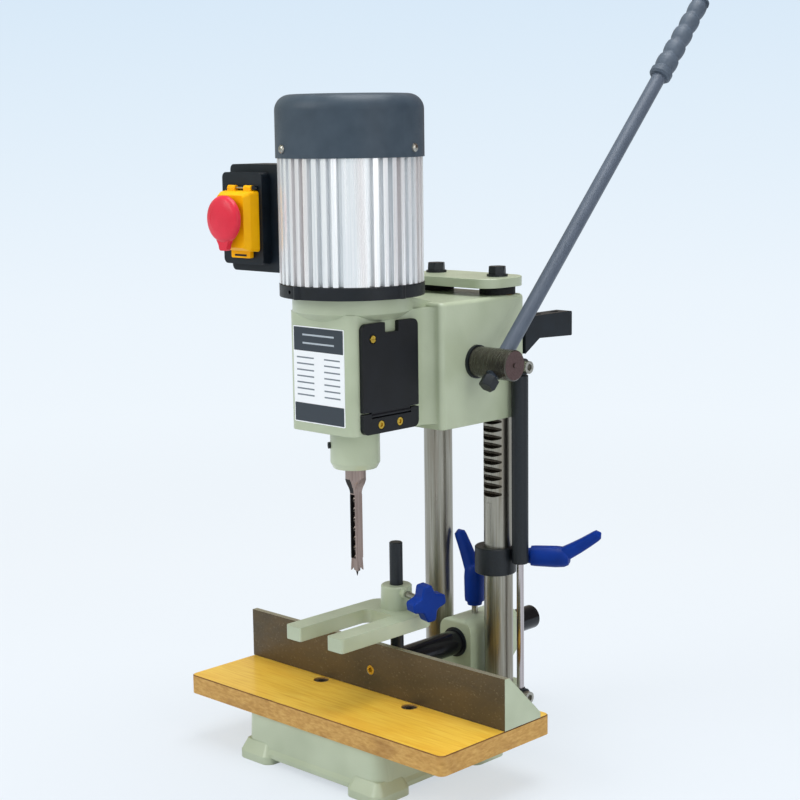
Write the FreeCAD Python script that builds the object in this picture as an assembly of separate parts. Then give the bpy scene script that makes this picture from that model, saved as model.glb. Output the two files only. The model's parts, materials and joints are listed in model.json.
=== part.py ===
import FreeCAD, Part
import math
import os

# Benchtop hollow-chisel mortiser. Millimetres. X is to the right of the user, Y to the back, Z up.
# The origin is the centre of the four bench bolts, on the bench.

Vector = FreeCAD.Vector
os.makedirs("parts", exist_ok=True)

# Clearances
running_fit = 0.05
seat_gap = 0.3
free_gap = 1.5

# Base casting
base_half_width = 87.0
base_half_depth = 79.0
base_height = 45.0
base_wall = 7.0
base_roof = 9.0
base_corner = 12.0
skirt_lift = 6.0
skirt_lip = 2.5
foot_length = 43.0
foot_depth = 44.0
foot_overhang = 6.0
foot_height = 9.0
bench_hole_x = 75.0
bench_hole_y = 64.0
bench_hole_radius = 4.0
bench_hole_depth = 24.0
tail_half_width = 57.0
tail_rear = 160.0
bar_boss_half_width = 20.0
bar_boss_front = 118.0
bar_boss_rear = 190.0
bar_boss_top = 106.0
bar_boss_corner = 12.0

# Table board and its screws
table_half_width = 165.0
table_front = -82.0
table_rear = 62.0
table_thickness = 18.0
table_screw_x = 58.0
table_screw_y = -9.0
table_screw_radius = 4.0
table_screw_head_radius = 6.5
table_screw_head_height = 8.0
table_screw_length = 26.0

# Fence, its bar and the hold-down post
fence_front = -0.6
fence_thickness = 6.0
fence_height = 47.0
fence_web_thickness = 8.0
fence_web_depth = 48.6
fence_web_toe = 5.0
fence_screw_radius = 4.4
bar_radius = 12.0
bar_height = 83.0
bar_end = 235.0
bush_wall = 1.8
post_radius = 6.25
post_y = 36.0
post_top = 199.4

# Hold-down fork
fork_bottom = 123.0
fork_thickness = 13.0
fork_half_width = 37.0
fork_slot_half_width = 17.5
fork_slot_end = 14.0
fork_tip = -72.0
fork_rear = 51.0
fork_boss_radius = 15.0
fork_boss_top = 158.5
knob_stud_radius = 3.0
knob_height = 153.0
knob_angle = -15.0
knob_nub_end = 20.0
knob_start = 41.0
knob_disc_start = 47.0
knob_disc_end = 60.0
knob_radius = 18.0

# Columns, rack and top plate
column_radius = 14.0
column_x = 39.0
column_y = 138.0
column_bottom = 12.0
column_top = 434.5
gear_module = 2.5
gear_teeth = 32
rack_bottom = 227.0
rack_top = 398.0
pressure_angle = 20.0
backlash = 0.24
plate_thickness = 9.0
plate_half_width = 58.0
plate_half_depth = 30.0
plate_y = 134.0
plate_corner = 20.0
plate_bolt_radius = 5.0
plate_bolt_flat = 15.0
plate_bolt_head = 7.5
plate_bolt_flange = 10.0
plate_bolt_flange_thickness = 2.0
plate_bolt_length = 30.0
buffer_radius = 17.0

# Head casting
head_half_width = 57.0
head_front = 40.0
head_rear = 158.0
head_bottom = 311.0
head_top = 427.0
head_wall = 7.0
head_corner = 7.0
housing_half_width = 41.0
housing_front = -58.0
housing_bottom = 316.0
housing_top = 423.0
housing_corner = 10.0
spindle_y = -15.2
collar_radius = 54.0
collar_top = 436.6
nose_radius = 22.7
nose_bottom = 279.0
nose_chamfer = 5.0
chuck_room_half_width = 33.0
chuck_room_bottom = 322.0
chuck_room_top = 412.0
column_bush_wall = 1.5
column_bush_length = 28.0
column_boss_radius = 20.0

# Feed shaft, gear and lever
feed_y = 87.0
feed_z = 369.5
gear_width = 18.0
feed_shaft_radius = 11.0
feed_bush_wall = 3.0
feed_bush_flange = 15.5
feed_bush_flange_thickness = 3.0
hub_radius = 14.25
hub_end = 103.5
lever_x = 85.0
lever_angle = 46.8
lever_radius = 7.0
lever_tail = 27.0
lever_reach = 461.0
grip_length = 106.0
lever_nut_flat = 18.0
lever_nut_height = 10.0

# Motor
motor_radius = 64.5
rib_depth = 6.0
ribs_per_side = 8
pad_angle = 20.0
pad_direction = -41.0
flange_radius = 65.0
flange_top = 448.2
body_top = 560.0
body_bore = 52.0
cowl_radius = 66.0
cowl_wall = 1.4
cowl_bottom = 558.0
cowl_top = 613.0
cowl_round = 14.0
cowl_screw_z = 566.0
cowl_screw_angles = (13.0, -107.0, 133.0)
shaft_radius = 8.5
bearing_radius = 17.5
bearing_width = 11.0
core_radius = 29.5
core_bottom = 468.0
core_top = 530.0
air_gap = 0.5

# Chuck, auger and chisel
chuck_radius = 22.0
chuck_bottom = 340.0
chuck_top = 404.0
auger_radius = 3.0
auger_tip = 177.0
auger_lead = 18.0
chisel_size = 8.0
chisel_bottom = 182.0
chisel_square_top = 254.6
shank_radius = 9.5
shank_bottom = 266.7
shank_top = 320.0
lock_screw_radius = 3.0
lock_screw_z = 300.0
lock_screw_angle = -125.0

# Chuck cover
cover_front = -48.5
cover_rear = 21.5
cover_bottom = 317.0
cover_top = 415.0
cover_thickness = 4.2
cover_corner = 6.0
hinge_z = 333.5
hinge_pin_radius = 1.2
hinge_end = 11.0
cover_swing = 3.4
latch_y = -35.7
latch_z = 401.3
latch_radius = 3.2
notch_front = -20.4
notch_rear = -3.4
notch_depth = 9.4
strip_screw_places = ((-26.4, 324.4), (-2.7, 324.4))

# Gas strut
strut_x = 66.4
strut_y = 138.0
strut_radius = 8.0
strut_wall = 1.2
strut_rod_radius = 3.5
strut_bottom = 170.0
strut_top = 352.0
strut_pin_top = 360.0
strut_pin_bottom = 38.0
strut_pin_radius = 3.0

# Depth stop collar and clamp levers
stop_bottom = 157.0
stop_height = 26.0
stop_radius = 20.0
stop_shift_x = -2.0
stop_shift_y = -2.0
stop_lever_z = 174.0
stop_lever_angle = 32.0
stop_hub_start = 32.0
clamp_hub_radius = 10.0
clamp_hub_length = 36.0
clamp_stud_radius = 3.0
fence_lever_y = 147.0
fence_lever_z = 119.0

# Tool holder
holder_inner = 39.0
holder_rear = 228.5
holder_bottom = 381.0
holder_top = 404.0
holder_hole_radius = 4.0
holder_bolt_inset = 6.5

# Switch
switch_left = -122.0
switch_back = -12.0
switch_front = -50.0
switch_bottom = 455.0
switch_top = 552.0
frame_right = -68.0
frame_front = -60.0
frame_bottom = 462.0
frame_top = 545.0
flap_left = -115.5
flap_right = -71.5
flap_front = -76.0
flap_bottom = 474.0
flap_top = 529.0
flap_wall = 2.5
flap_pin_radius = 1.0
flap_pin_lift = 2.2
flap_ear_x = 19.0
button_travel = 4.0
mushroom_z = 504.0
mushroom_radius = 21.0
stem_z = 491.0
button_width = 20.0
button_height = 16.0
start_z = 516.0

# Derived sizes
table_bottom = base_height
table_top = table_bottom + table_thickness
fence_bottom = table_top + seat_gap
fence_top = fence_bottom + fence_height
fence_back = fence_front + fence_thickness
pitch = math.pi * gear_module
gear_pitch_radius = gear_module * gear_teeth / 2.0
gear_tip_radius = gear_pitch_radius + gear_module
gear_root_radius = gear_pitch_radius - 1.25 * gear_module
rack_pitch_y = feed_y + gear_pitch_radius
plate_bottom = column_top
plate_top = plate_bottom + plate_thickness
column_bore = column_radius + running_fit
column_bush_radius = column_bore + column_bush_wall
feed_bore = feed_shaft_radius + running_fit
feed_bush_radius = feed_bore + feed_bush_wall
cover_inner = housing_half_width + seat_gap
cover_outer = cover_inner + cover_thickness
hinge_x = cover_inner + cover_thickness / 2.0
hinge_front = cover_front + cover_rear - hinge_end
switch_x = (flap_left + flap_right) / 2.0
flap_hinge_y = frame_front - 2.6
flap_hinge_z = flap_top + flap_pin_lift
bar_bush_radius = bar_radius + running_fit + bush_wall
holder_bolt_x = head_half_width - holder_bolt_inset


def block(x0, x1, y0, y1, z0, z1):
    return Part.makeBox(x1 - x0, y1 - y0, z1 - z0, Vector(x0, y0, z0))


def rod(radius, start, end):
    start = Vector(*start)
    run = Vector(*end) - start
    return Part.makeCylinder(radius, run.Length, start, run)


def tube(outer, inner, start, end):
    return rod(outer, start, end).cut(rod(inner, start, end))


def cone(r0, r1, start, end):
    start = Vector(*start)
    run = Vector(*end) - start
    return Part.makeCone(r0, r1, run.Length, start, run)


def placed(u, v, w, plane):
    if plane == "XY":
        return Vector(u, v, w)
    if plane == "XZ":
        return Vector(u, w, v)
    return Vector(w, u, v)


def rounded_wire(corners, w=0.0, plane="XY"):
    """A closed outline from (u, v, radius) corners, each rounded by a tangent arc."""
    count = len(corners)
    joints = []
    for i in range(count):
        u, v, radius = corners[i]
        here = Vector(u, v, 0)
        before = Vector(corners[i - 1][0], corners[i - 1][1], 0) - here
        after = Vector(corners[(i + 1) % count][0], corners[(i + 1) % count][1], 0) - here
        before.normalize()
        after.normalize()
        if radius <= 0:
            joints.append((here, None, here))
            continue
        half = before.getAngle(after) / 2.0
        back = radius / math.tan(half)
        bisector = before + after
        bisector.normalize()
        centre = here + bisector * (radius / math.sin(half))
        joints.append((here + before * back, centre - bisector * radius, here + after * back))
    edges = []
    for i in range(count):
        start, middle, end = joints[i]
        if middle is not None:
            three = [placed(p.x, p.y, w, plane) for p in (start, middle, end)]
            edges.append(Part.Arc(*three).toShape())
        following = joints[(i + 1) % count][0]
        if end.distanceToPoint(following) > 1e-6:
            a = placed(end.x, end.y, w, plane)
            b = placed(following.x, following.y, w, plane)
            edges.append(Part.LineSegment(a, b).toShape())
    return Part.Wire(edges)


def slab(corners, w0, w1, plane="XY"):
    face = Part.Face(rounded_wire(corners, w0, plane))
    return face.extrude(placed(0, 0, w1 - w0, plane))


def rectangle(u0, u1, v0, v1, radius):
    return [(u0, v0, radius), (u1, v0, radius), (u1, v1, radius), (u0, v1, radius)]


def tapered(lower, z0, upper, z1):
    wires = [rounded_wire(lower, z0), rounded_wire(upper, z1)]
    return Part.makeLoft(wires, True, True)


def grown(box, step, radius):
    x0, x1, y0, y1 = box
    return rectangle(x0 - step, x1 + step, y0 - step, y1 + step, radius)


def spun(profile, start, direction):
    """Revolves (radius, distance) corners about the line from start along direction."""
    axis = Vector(*direction)
    axis.normalize()
    face = Part.Face(Part.makePolygon([Vector(r, 0, h) for r, h in profile + profile[:1]]))
    solid = face.revolve(Vector(0, 0, 0), Vector(0, 0, 1), 360)
    turn = FreeCAD.Rotation(Vector(0, 0, 1), axis)
    solid.Placement = FreeCAD.Placement(Vector(*start), turn)
    return solid


def hexagon(flat, start, direction, height):
    corner = flat / math.sqrt(3)
    points = [Vector(corner * math.cos(k * math.pi / 3), corner * math.sin(k * math.pi / 3), 0)
              for k in range(7)]
    solid = Part.Face(Part.makePolygon(points)).extrude(Vector(0, 0, height))
    axis = Vector(*direction)
    axis.normalize()
    solid.Placement = FreeCAD.Placement(Vector(*start), FreeCAD.Rotation(Vector(0, 0, 1), axis))
    return solid


def turned(shape, angle, centre, axis):
    copy = shape.copy()
    copy.rotate(Vector(*centre), Vector(*axis), angle)
    return copy


def fused(first, *others):
    return first.fuse(list(others)).removeSplitter()


def less(first, *others):
    return first.cut(list(others))


def save(name, *solids):
    shape = solids[0] if len(solids) == 1 else Part.makeCompound(list(solids))
    shape.exportStep(os.path.join("parts", name + ".step"))


def at(x, y, z):
    return (x, y, z)


def polar(radius, angle, x=0.0, y=0.0):
    return x + radius * math.cos(math.radians(angle)), y + radius * math.sin(math.radians(angle))


# Base casting: hollow, open below, on four flared feet
def make_base():
    main = (-base_half_width, base_half_width, -base_half_depth, base_half_depth)
    tail = (-tail_half_width, tail_half_width, 0.0, tail_rear)
    body = tapered(grown(main, 1.0, base_corner), skirt_lift, grown(main, 0.0, base_corner), base_height)
    body = fused(body, tapered(grown(tail, 1.0, base_corner), skirt_lift,
                               grown(tail, 0.0, base_corner), base_height))
    inside = base_height - base_roof
    room = tapered(grown(main, -base_wall, base_wall), 0, grown(main, -base_wall - 1.0, base_wall), inside)
    back_room = tapered(grown(tail, -base_wall, base_wall), 0,
                        grown(tail, -base_wall - 1.0, base_wall), inside)
    lip = fused(tapered(grown(main, skirt_lip, base_corner), skirt_lift,
                        grown(main, skirt_lip, base_corner), skirt_lift + 4),
                tapered(grown(main, skirt_lip, base_corner), skirt_lift + 4,
                        grown(main, 0.5, base_corner), skirt_lift + 9))
    body = less(fused(body, lip), room, back_room)
    extras = []
    for sx in (-1, 1):
        for sy in (-1, 1):
            x1 = base_half_width + foot_overhang
            y1 = base_half_depth + foot_overhang + 1.0
            low = [sx * (x1 - foot_length), sx * x1]
            deep = [sy * (y1 - foot_depth), sy * y1]
            foot = (min(low), max(low), min(deep), max(deep))
            extras.append(tapered(grown(foot, 0.0, 9.0), 0, grown(foot, 0.0, 9.0), foot_height - 2))
            extras.append(tapered(grown(foot, 0.0, 9.0), foot_height - 2,
                                  grown(foot, -foot_overhang, 4.0), foot_height + 9))
            extras.append(rod(bench_hole_radius + 9, at(sx * bench_hole_x, sy * bench_hole_y, 0),
                              at(sx * bench_hole_x, sy * bench_hole_y, inside + 1)))
    for sx in (-1, 1):
        seat = rod(column_radius + base_wall, at(sx * column_x, column_y, skirt_lift),
                   at(sx * column_x, column_y, inside + 1))
        extras.append(seat.common(block(-tail_half_width, tail_half_width, 0, tail_rear, 0, base_height)))
        extras.append(rod(table_screw_radius + 6, at(sx * table_screw_x, table_screw_y, inside - 12),
                          at(sx * table_screw_x, table_screw_y, inside + 1)))
    side = slab([(bar_boss_front, inside, 0), (tail_rear - 2, inside, 0),
                 (bar_boss_rear, bar_height - bar_radius - 6, 3), (bar_boss_rear, bar_boss_top, 6),
                 (bar_boss_front, bar_boss_top, 4)], -bar_boss_half_width, bar_boss_half_width, "YZ")
    front = slab([(-bar_boss_half_width, inside, 0), (bar_boss_half_width, inside, 0),
                  (bar_boss_half_width, bar_boss_top, bar_boss_corner),
                  (-bar_boss_half_width, bar_boss_top, bar_boss_corner)],
                 bar_boss_front, bar_boss_rear, "XZ")
    extras.append(side.common(front))
    pad_end = strut_x - strut_radius - seat_gap
    extras.append(rod(9, at(column_x, strut_y, strut_pin_bottom), at(pad_end, strut_y, strut_pin_bottom)))
    body = fused(body, *extras)
    cuts = []
    for sx in (-1, 1):
        for sy in (-1, 1):
            cuts.append(rod(bench_hole_radius, at(sx * bench_hole_x, sy * bench_hole_y, -1),
                            at(sx * bench_hole_x, sy * bench_hole_y, bench_hole_depth)))
        cuts.append(rod(column_radius, at(sx * column_x, column_y, column_bottom),
                        at(sx * column_x, column_y, strut_pin_bottom + 10)))
        cuts.append(rod(table_screw_radius, at(sx * table_screw_x, table_screw_y, 0),
                        at(sx * table_screw_x, table_screw_y, base_height + 1)))
    cuts.append(rod(bar_bush_radius, at(0, bar_boss_front - 1, bar_height),
                    at(0, bar_boss_rear + 1, bar_height)))
    cuts.append(rod(clamp_stud_radius + running_fit, at(0, fence_lever_y, bar_height),
                    at(0, fence_lever_y, bar_boss_top + 1)))
    cuts.append(rod(strut_pin_radius, at(column_x + column_radius + 0.6, strut_y, strut_pin_bottom),
                    at(pad_end + 1, strut_y, strut_pin_bottom)))
    return less(body, *cuts)


def make_table():
    board = slab(rectangle(-table_half_width, table_half_width, table_front, table_rear, 6),
                 table_bottom, table_top)
    cuts = []
    head_seat = table_top - table_screw_head_height - 1.0
    for sx in (-1, 1):
        x = sx * table_screw_x
        cuts.append(rod(table_screw_head_radius + 1.0, at(x, table_screw_y, head_seat),
                        at(x, table_screw_y, table_top + 1)))
        cuts.append(rod(table_screw_radius + seat_gap, at(x, table_screw_y, table_bottom - 1),
                        at(x, table_screw_y, table_top)))
    edges = [e for e in board.Edges if e.BoundBox.ZMin > table_top - 0.01]
    return less(board.makeChamfer(0.8, edges), *cuts)


def socket_screw(radius, head_radius, head_height, length, seat, direction):
    """A cap screw whose head sits on seat and whose shank runs along direction."""
    d = Vector(*direction)
    d.normalize()
    s = Vector(*seat)
    top = s - d * head_height
    screw = fused(rod(head_radius, tuple(top), tuple(s)), rod(radius, tuple(s), tuple(s + d * length)))
    return less(screw, hexagon(head_radius, tuple(top - d * 0.1), tuple(d), head_height * 0.6))


def make_table_screws():
    head_seat = table_top - table_screw_head_height - 1.0
    return [socket_screw(table_screw_radius, table_screw_head_radius, table_screw_head_height,
                         table_screw_length, (sx * table_screw_x, table_screw_y, head_seat), (0, 0, -1))
            for sx in (-1, 1)]


# Fence with its two end webs, on a round bar that slides in the base
def make_fence():
    face = block(-table_half_width, table_half_width, fence_front, fence_back, fence_bottom, fence_top)
    solids = []
    web_rear = fence_front + fence_web_depth
    for sx in (-1, 1):
        x0 = sx * table_half_width
        x1 = sx * (table_half_width - fence_web_thickness)
        corners = [(fence_front + 1, fence_bottom, 0), (web_rear, fence_bottom, 0),
                   (web_rear, fence_bottom + fence_web_toe, 2), (fence_back, fence_top, 0),
                   (fence_front + 1, fence_top, 0)]
        solids.append(slab(corners, min(x0, x1), max(x0, x1), "YZ"))
    solids.append(rod(bar_radius + 4, at(0, fence_back, bar_height), at(0, fence_back + 6, bar_height)))
    body = fused(face, *solids)
    return less(body, rod(bar_radius + running_fit, at(0, fence_back, bar_height),
                          at(0, fence_back + 7, bar_height)),
                rod(fence_screw_radius + seat_gap, at(0, fence_front - 1, bar_height),
                    at(0, fence_front + 4, bar_height)),
                rod(fence_screw_radius * 0.6, at(0, fence_front, bar_height),
                    at(0, fence_back + 1, bar_height)))


def make_fence_bar():
    bar = rod(bar_radius, at(0, fence_back, bar_height), at(0, bar_end, bar_height))
    ends = [e for e in bar.Edges if abs(e.BoundBox.YMin - bar_end) < 0.01 and abs(e.BoundBox.YMax - bar_end) < 0.01]
    bar = bar.makeChamfer(1.2, ends)
    return less(bar, rod(post_radius, at(0, post_y, bar_height - 8), at(0, post_y, bar_height + 20)),
                rod(fence_screw_radius * 0.6, at(0, fence_back - 1, bar_height),
                    at(0, fence_back + 20, bar_height)))


def make_fence_screw():
    return socket_screw(fence_screw_radius * 0.6, fence_screw_radius, 3.8, 20,
                        (0, fence_front + 4, bar_height), (0, 1, 0))


def make_bar_bush():
    bush = fused(rod(bar_bush_radius, at(0, bar_boss_front, bar_height), at(0, bar_boss_rear, bar_height)),
                 rod(bar_bush_radius + 0.8, at(0, bar_boss_front - 1.5, bar_height),
                     at(0, bar_boss_front, bar_height)))
    return less(bush, rod(bar_radius + running_fit, at(0, bar_boss_front - 3, bar_height),
                          at(0, bar_boss_rear + 3, bar_height)),
                rod(clamp_stud_radius + running_fit, at(0, fence_lever_y, bar_height),
                    at(0, fence_lever_y, bar_boss_top)))


def make_post():
    post = rod(post_radius, at(0, post_y, bar_height - 8), at(0, post_y, post_top))
    top = [e for e in post.Edges if e.BoundBox.ZMin > post_top - 0.01]
    return post.makeChamfer(0.8, top)


# Hold-down fork and its star knob
def make_fork():
    outer = [(-fork_half_width, fork_tip, 3), (-fork_slot_half_width, fork_tip, 2),
             (-fork_slot_half_width, fork_slot_end, 7), (fork_slot_half_width, fork_slot_end, 7),
             (fork_slot_half_width, fork_tip, 2), (fork_half_width, fork_tip, 3),
             (fork_half_width, fork_rear, 14), (-fork_half_width, fork_rear, 14)]
    plate = slab(outer, fork_bottom, fork_bottom + fork_thickness)
    rise = fork_boss_top - fork_bottom
    boss = spun([(0, 0), (fork_boss_radius + 0.8, 0), (fork_boss_radius - 0.5, rise - 1.0),
                 (fork_boss_radius - 1.5, rise), (0, rise)], (0, post_y, fork_bottom), (0, 0, 1))
    dx, dy = polar(1.0, knob_angle)
    nub = rod(knob_stud_radius + 2.0, at(0, post_y, knob_height),
              at(dx * knob_nub_end, post_y + dy * knob_nub_end, knob_height))
    body = fused(plate, boss, nub)
    stud_hole = rod(knob_stud_radius + running_fit, at(0, post_y, knob_height),
                    at(dx * 40, post_y + dy * 40, knob_height))
    return less(body, rod(post_radius + running_fit, at(0, post_y, fork_bottom - 1),
                          at(0, post_y, fork_boss_top + 1)), stud_hole)


def make_knob():
    waist = knob_radius * 0.58
    corners = []
    for k in range(4):
        for step, radius, round_off in ((-14, knob_radius, 3), (14, knob_radius, 3), (45, waist, 4)):
            u, v = polar(radius, 90 * k + step)
            corners.append((u, v, round_off))
    star = slab(corners, knob_disc_start, knob_disc_end)
    edges = [e for e in star.Edges if e.BoundBox.ZMin > knob_disc_end - 0.01]
    star = star.makeChamfer(1.2, edges)
    neck = cone(6.5, 9.0, at(0, 0, knob_start), at(0, 0, knob_disc_start))
    stud = rod(knob_stud_radius, at(0, 0, post_radius + seat_gap), at(0, 0, knob_start))
    lobes = fused(star, neck, stud)
    lobes.rotate(Vector(0, 0, 0), Vector(0, 1, 0), 90)
    lobes.rotate(Vector(0, 0, 0), Vector(1, 0, 0), 8)
    lobes.rotate(Vector(0, 0, 0), Vector(0, 0, 1), knob_angle)
    lobes.translate(Vector(0, post_y, knob_height))
    return lobes


# Columns: the right one has the rack cut in its front
def make_column(side):
    x = side * column_x
    column = rod(column_radius, at(x, column_y, column_bottom), at(x, column_y, column_top))
    return less(column, rod(plate_bolt_radius, at(x, column_y, column_top - plate_bolt_length),
                            at(x, column_y, column_top + 1)))


def make_rack_column():
    column = make_column(1)
    tan_flank = math.tan(math.radians(pressure_angle))
    tip_y = rack_pitch_y - gear_module
    root_y = rack_pitch_y + 1.25 * gear_module
    open_y = column_y - column_radius - 1
    x0 = column_x - column_radius
    x1 = column_x + column_radius
    cuts = [block(x0, x1, open_y, tip_y, rack_bottom, rack_top)]
    half = pitch / 4.0 + backlash / 4.0
    first = math.ceil((rack_bottom - feed_z) / pitch + 0.5)
    last = math.floor((rack_top - feed_z) / pitch - 0.5)
    for k in range(first, last + 1):
        z = feed_z + k * pitch
        root = half - (root_y - rack_pitch_y) * tan_flank
        wide = half + (rack_pitch_y - open_y) * tan_flank
        cuts.append(slab([(open_y, z - wide, 0), (root_y, z - root, 0), (root_y, z + root, 0),
                          (open_y, z + wide, 0)], x0, x1, "YZ"))
    return less(column, *cuts)


def make_top_plate():
    plate = slab(rectangle(-plate_half_width, plate_half_width, plate_y - plate_half_depth,
                           plate_y + plate_half_depth, plate_corner), plate_bottom, plate_top)
    edges = [e for e in plate.Edges if e.BoundBox.ZMin > plate_top - 0.01]
    plate = plate.makeChamfer(0.8, edges)
    holes = [rod(plate_bolt_radius + seat_gap, at(sx * column_x, column_y, plate_bottom - 1),
                 at(sx * column_x, column_y, plate_top + 1)) for sx in (-1, 1)]
    return less(plate, *holes)


def make_plate_bolts():
    bolts = []
    for sx in (-1, 1):
        x = sx * column_x
        flange = rod(plate_bolt_flange, at(x, column_y, plate_top),
                     at(x, column_y, plate_top + plate_bolt_flange_thickness))
        head = hexagon(plate_bolt_flat, (x, column_y, plate_top + plate_bolt_flange_thickness), (0, 0, 1),
                       plate_bolt_head)
        head = head.common(cone(plate_bolt_flat * 0.62, plate_bolt_flat * 0.5,
                                at(x, column_y, plate_top), at(x, column_y, plate_top + 14)))
        shank = rod(plate_bolt_radius, at(x, column_y, plate_top - plate_bolt_length),
                    at(x, column_y, plate_top))
        bolts.append(fused(flange, head, shank))
    return bolts


def make_buffers():
    return [tube(buffer_radius, column_bore + seat_gap, at(sx * column_x, column_y, head_top + seat_gap),
                 at(sx * column_x, column_y, plate_bottom)) for sx in (-1, 1)]


# Head casting: chuck housing in front, hollow gear box behind, sliding on the columns
def make_head():
    plan = [(-housing_half_width, housing_front, housing_corner),
            (housing_half_width, housing_front, housing_corner),
            (housing_half_width, head_front, 11), (head_half_width, head_front, 5),
            (head_half_width, head_front + 16, 0), (-head_half_width, head_front + 16, 0),
            (-head_half_width, head_front, 5), (-housing_half_width, head_front, 11)]
    housing = slab(plan, housing_bottom, housing_top)
    rear = slab([(-head_half_width, head_front, 5), (head_half_width, head_front, 5),
                 (head_half_width, head_rear, head_corner), (-head_half_width, head_rear, head_corner)],
                head_bottom, head_top)
    edges = [e for e in rear.Edges if e.BoundBox.ZMin > head_top - 0.01]
    rear = rear.makeFillet(4.0, edges)
    collar = fused(rod(collar_radius, at(0, spindle_y, housing_top), at(0, spindle_y, collar_top)),
                   cone(housing_half_width + 2, collar_radius, at(0, spindle_y, cover_top + 1.0),
                        at(0, spindle_y, housing_top)))
    saddle = slab([(spindle_y + 30, head_top - 14, 0), (head_front + 26, head_top - 14, 0),
                   (head_front + 26, head_top - 1, 0), (head_front + 8, head_top, 18),
                   (spindle_y + 30, collar_top - 2, 0)], -housing_half_width + 3, housing_half_width - 3, "YZ")
    nose = spun([(0, nose_bottom), (nose_radius - nose_chamfer * 0.55, nose_bottom),
                 (nose_radius, nose_bottom + nose_chamfer), (nose_radius, housing_bottom - 3),
                 (nose_radius + 3, housing_bottom), (nose_radius + 3, housing_bottom + 2),
                 (0, housing_bottom + 2)], (0, spindle_y, 0), (0, 0, 1))
    body = fused(housing, rear, collar, saddle, nose)
    bore = rod(shank_radius + running_fit, at(0, spindle_y, nose_bottom - 1), at(0, spindle_y, chuck_room_bottom))
    room = slab(rectangle(-chuck_room_half_width, housing_half_width + 1, cover_front + 6.5, cover_rear - 6.5, 0),
                hinge_z + 4.5, latch_z - 6)
    chuck_room = slab(rectangle(-chuck_room_half_width, chuck_room_half_width, spindle_y - chuck_room_half_width,
                                spindle_y + chuck_room_half_width, 12), chuck_room_bottom, chuck_room_top)
    shaft_hole = rod(shaft_radius + 6, at(0, spindle_y, chuck_room_top - 1), at(0, spindle_y, collar_top + 1))
    inner = slab(rectangle(-head_half_width + head_wall, head_half_width - head_wall,
                           feed_y - gear_tip_radius - 1.2, head_rear - head_wall, 6),
                 head_bottom - 1, head_top - head_wall)
    pillars = []
    for sx in (-1, 1):
        pillars.append(rod(column_boss_radius, at(sx * column_x, column_y, head_bottom),
                           at(sx * column_x, column_y, head_top - 1)))
    pillars.append(rod(feed_bush_radius + 5, at(-head_half_width + 1, feed_y, feed_z),
                       at(-head_half_width + 24, feed_y, feed_z)))
    limits = block(-head_half_width, head_half_width, head_front, head_rear, head_bottom, head_top)
    room_inside = inner
    for pillar in pillars:
        room_inside = room_inside.cut(pillar.common(limits))
    gear_room = rod(gear_tip_radius + 1.2, at(column_x - gear_width / 2 - free_gap, feed_y, feed_z),
                    at(column_x + gear_width / 2 + 0.8, feed_y, feed_z))
    pad_end = strut_x - strut_radius - seat_gap
    pad = rod(9, at(head_half_width - 1, strut_y, strut_pin_top), at(pad_end, strut_y, strut_pin_top))
    body = less(fused(body, pad), bore, room, chuck_room, shaft_hole, room_inside, gear_room)
    cuts = []
    for sx in (-1, 1):
        x = sx * column_x
        cuts.append(rod(column_bush_radius, at(x, column_y, head_bottom - 1), at(x, column_y, head_top + 1)))
    cuts.append(rod(feed_bush_radius, at(-head_half_width - 1, feed_y, feed_z),
                    at(head_half_width + 1, feed_y, feed_z)))
    cuts.append(rod(strut_pin_radius, at(column_x + column_bush_radius - 1, strut_y, strut_pin_top),
                    at(pad_end + 1, strut_y, strut_pin_top)))
    dx, dy = polar(1.0, lock_screw_angle)
    cuts.append(rod(lock_screw_radius + running_fit, at(0, spindle_y, lock_screw_z),
                    at(dx * 40, spindle_y + dy * 40, lock_screw_z)))
    cuts.append(rod(2.8, at(housing_half_width - 9, latch_y, latch_z), at(housing_half_width + 1, latch_y, latch_z)))
    for y, z in strip_screw_places:
        cuts.append(rod(2.0, at(housing_half_width - 7.2, y, z), at(housing_half_width + 1, y, z)))
    for z in (holder_bottom + 6, holder_top - 6):
        cuts.append(rod(2.5, at(holder_bolt_x, head_rear - 6, z), at(holder_bolt_x, head_rear + 1, z)))
    return less(body, *cuts)


def make_column_bushes():
    bushes = []
    for sx in (-1, 1):
        for z0 in (head_bottom, head_top - column_bush_length):
            bushes.append(tube(column_bush_radius, column_bore, at(sx * column_x, column_y, z0),
                               at(sx * column_x, column_y, z0 + column_bush_length)))
    return bushes


def make_feed_bushes():
    end = head_half_width + feed_bush_flange_thickness
    inner_end = column_x + gear_width / 2 + 0.8
    right = fused(rod(feed_bush_radius, at(inner_end, feed_y, feed_z), at(end, feed_y, feed_z)),
                  rod(feed_bush_flange, at(head_half_width, feed_y, feed_z), at(end, feed_y, feed_z)))
    right = less(right, rod(feed_bore, at(0, feed_y, feed_z), at(end + 1, feed_y, feed_z)))
    left = tube(feed_bush_radius, feed_bore, at(-head_half_width, feed_y, feed_z),
                at(-head_half_width + 24, feed_y, feed_z))
    return [right, left]


# Feed gear, its shaft with the hub, and the lever through the hub
def gear_profile():
    base_radius = gear_pitch_radius * math.cos(math.radians(pressure_angle))
    at_pitch = math.tan(math.radians(pressure_angle)) - math.radians(pressure_angle)
    half = math.pi / (2 * gear_teeth) - backlash / (4 * gear_pitch_radius)
    points = []
    for tooth in range(gear_teeth):
        centre = math.pi / 2 - 2 * math.pi * tooth / gear_teeth
        flank = []
        for radius in (gear_root_radius, gear_pitch_radius, gear_tip_radius):
            rolled = max(radius, base_radius)
            angle = math.acos(base_radius / rolled)
            flank.append((radius, half + at_pitch - (math.tan(angle) - angle)))
        for radius, offset in flank:
            points.append((radius, centre + offset))
        for radius, offset in reversed(flank):
            points.append((radius, centre - offset))
    return points


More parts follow.
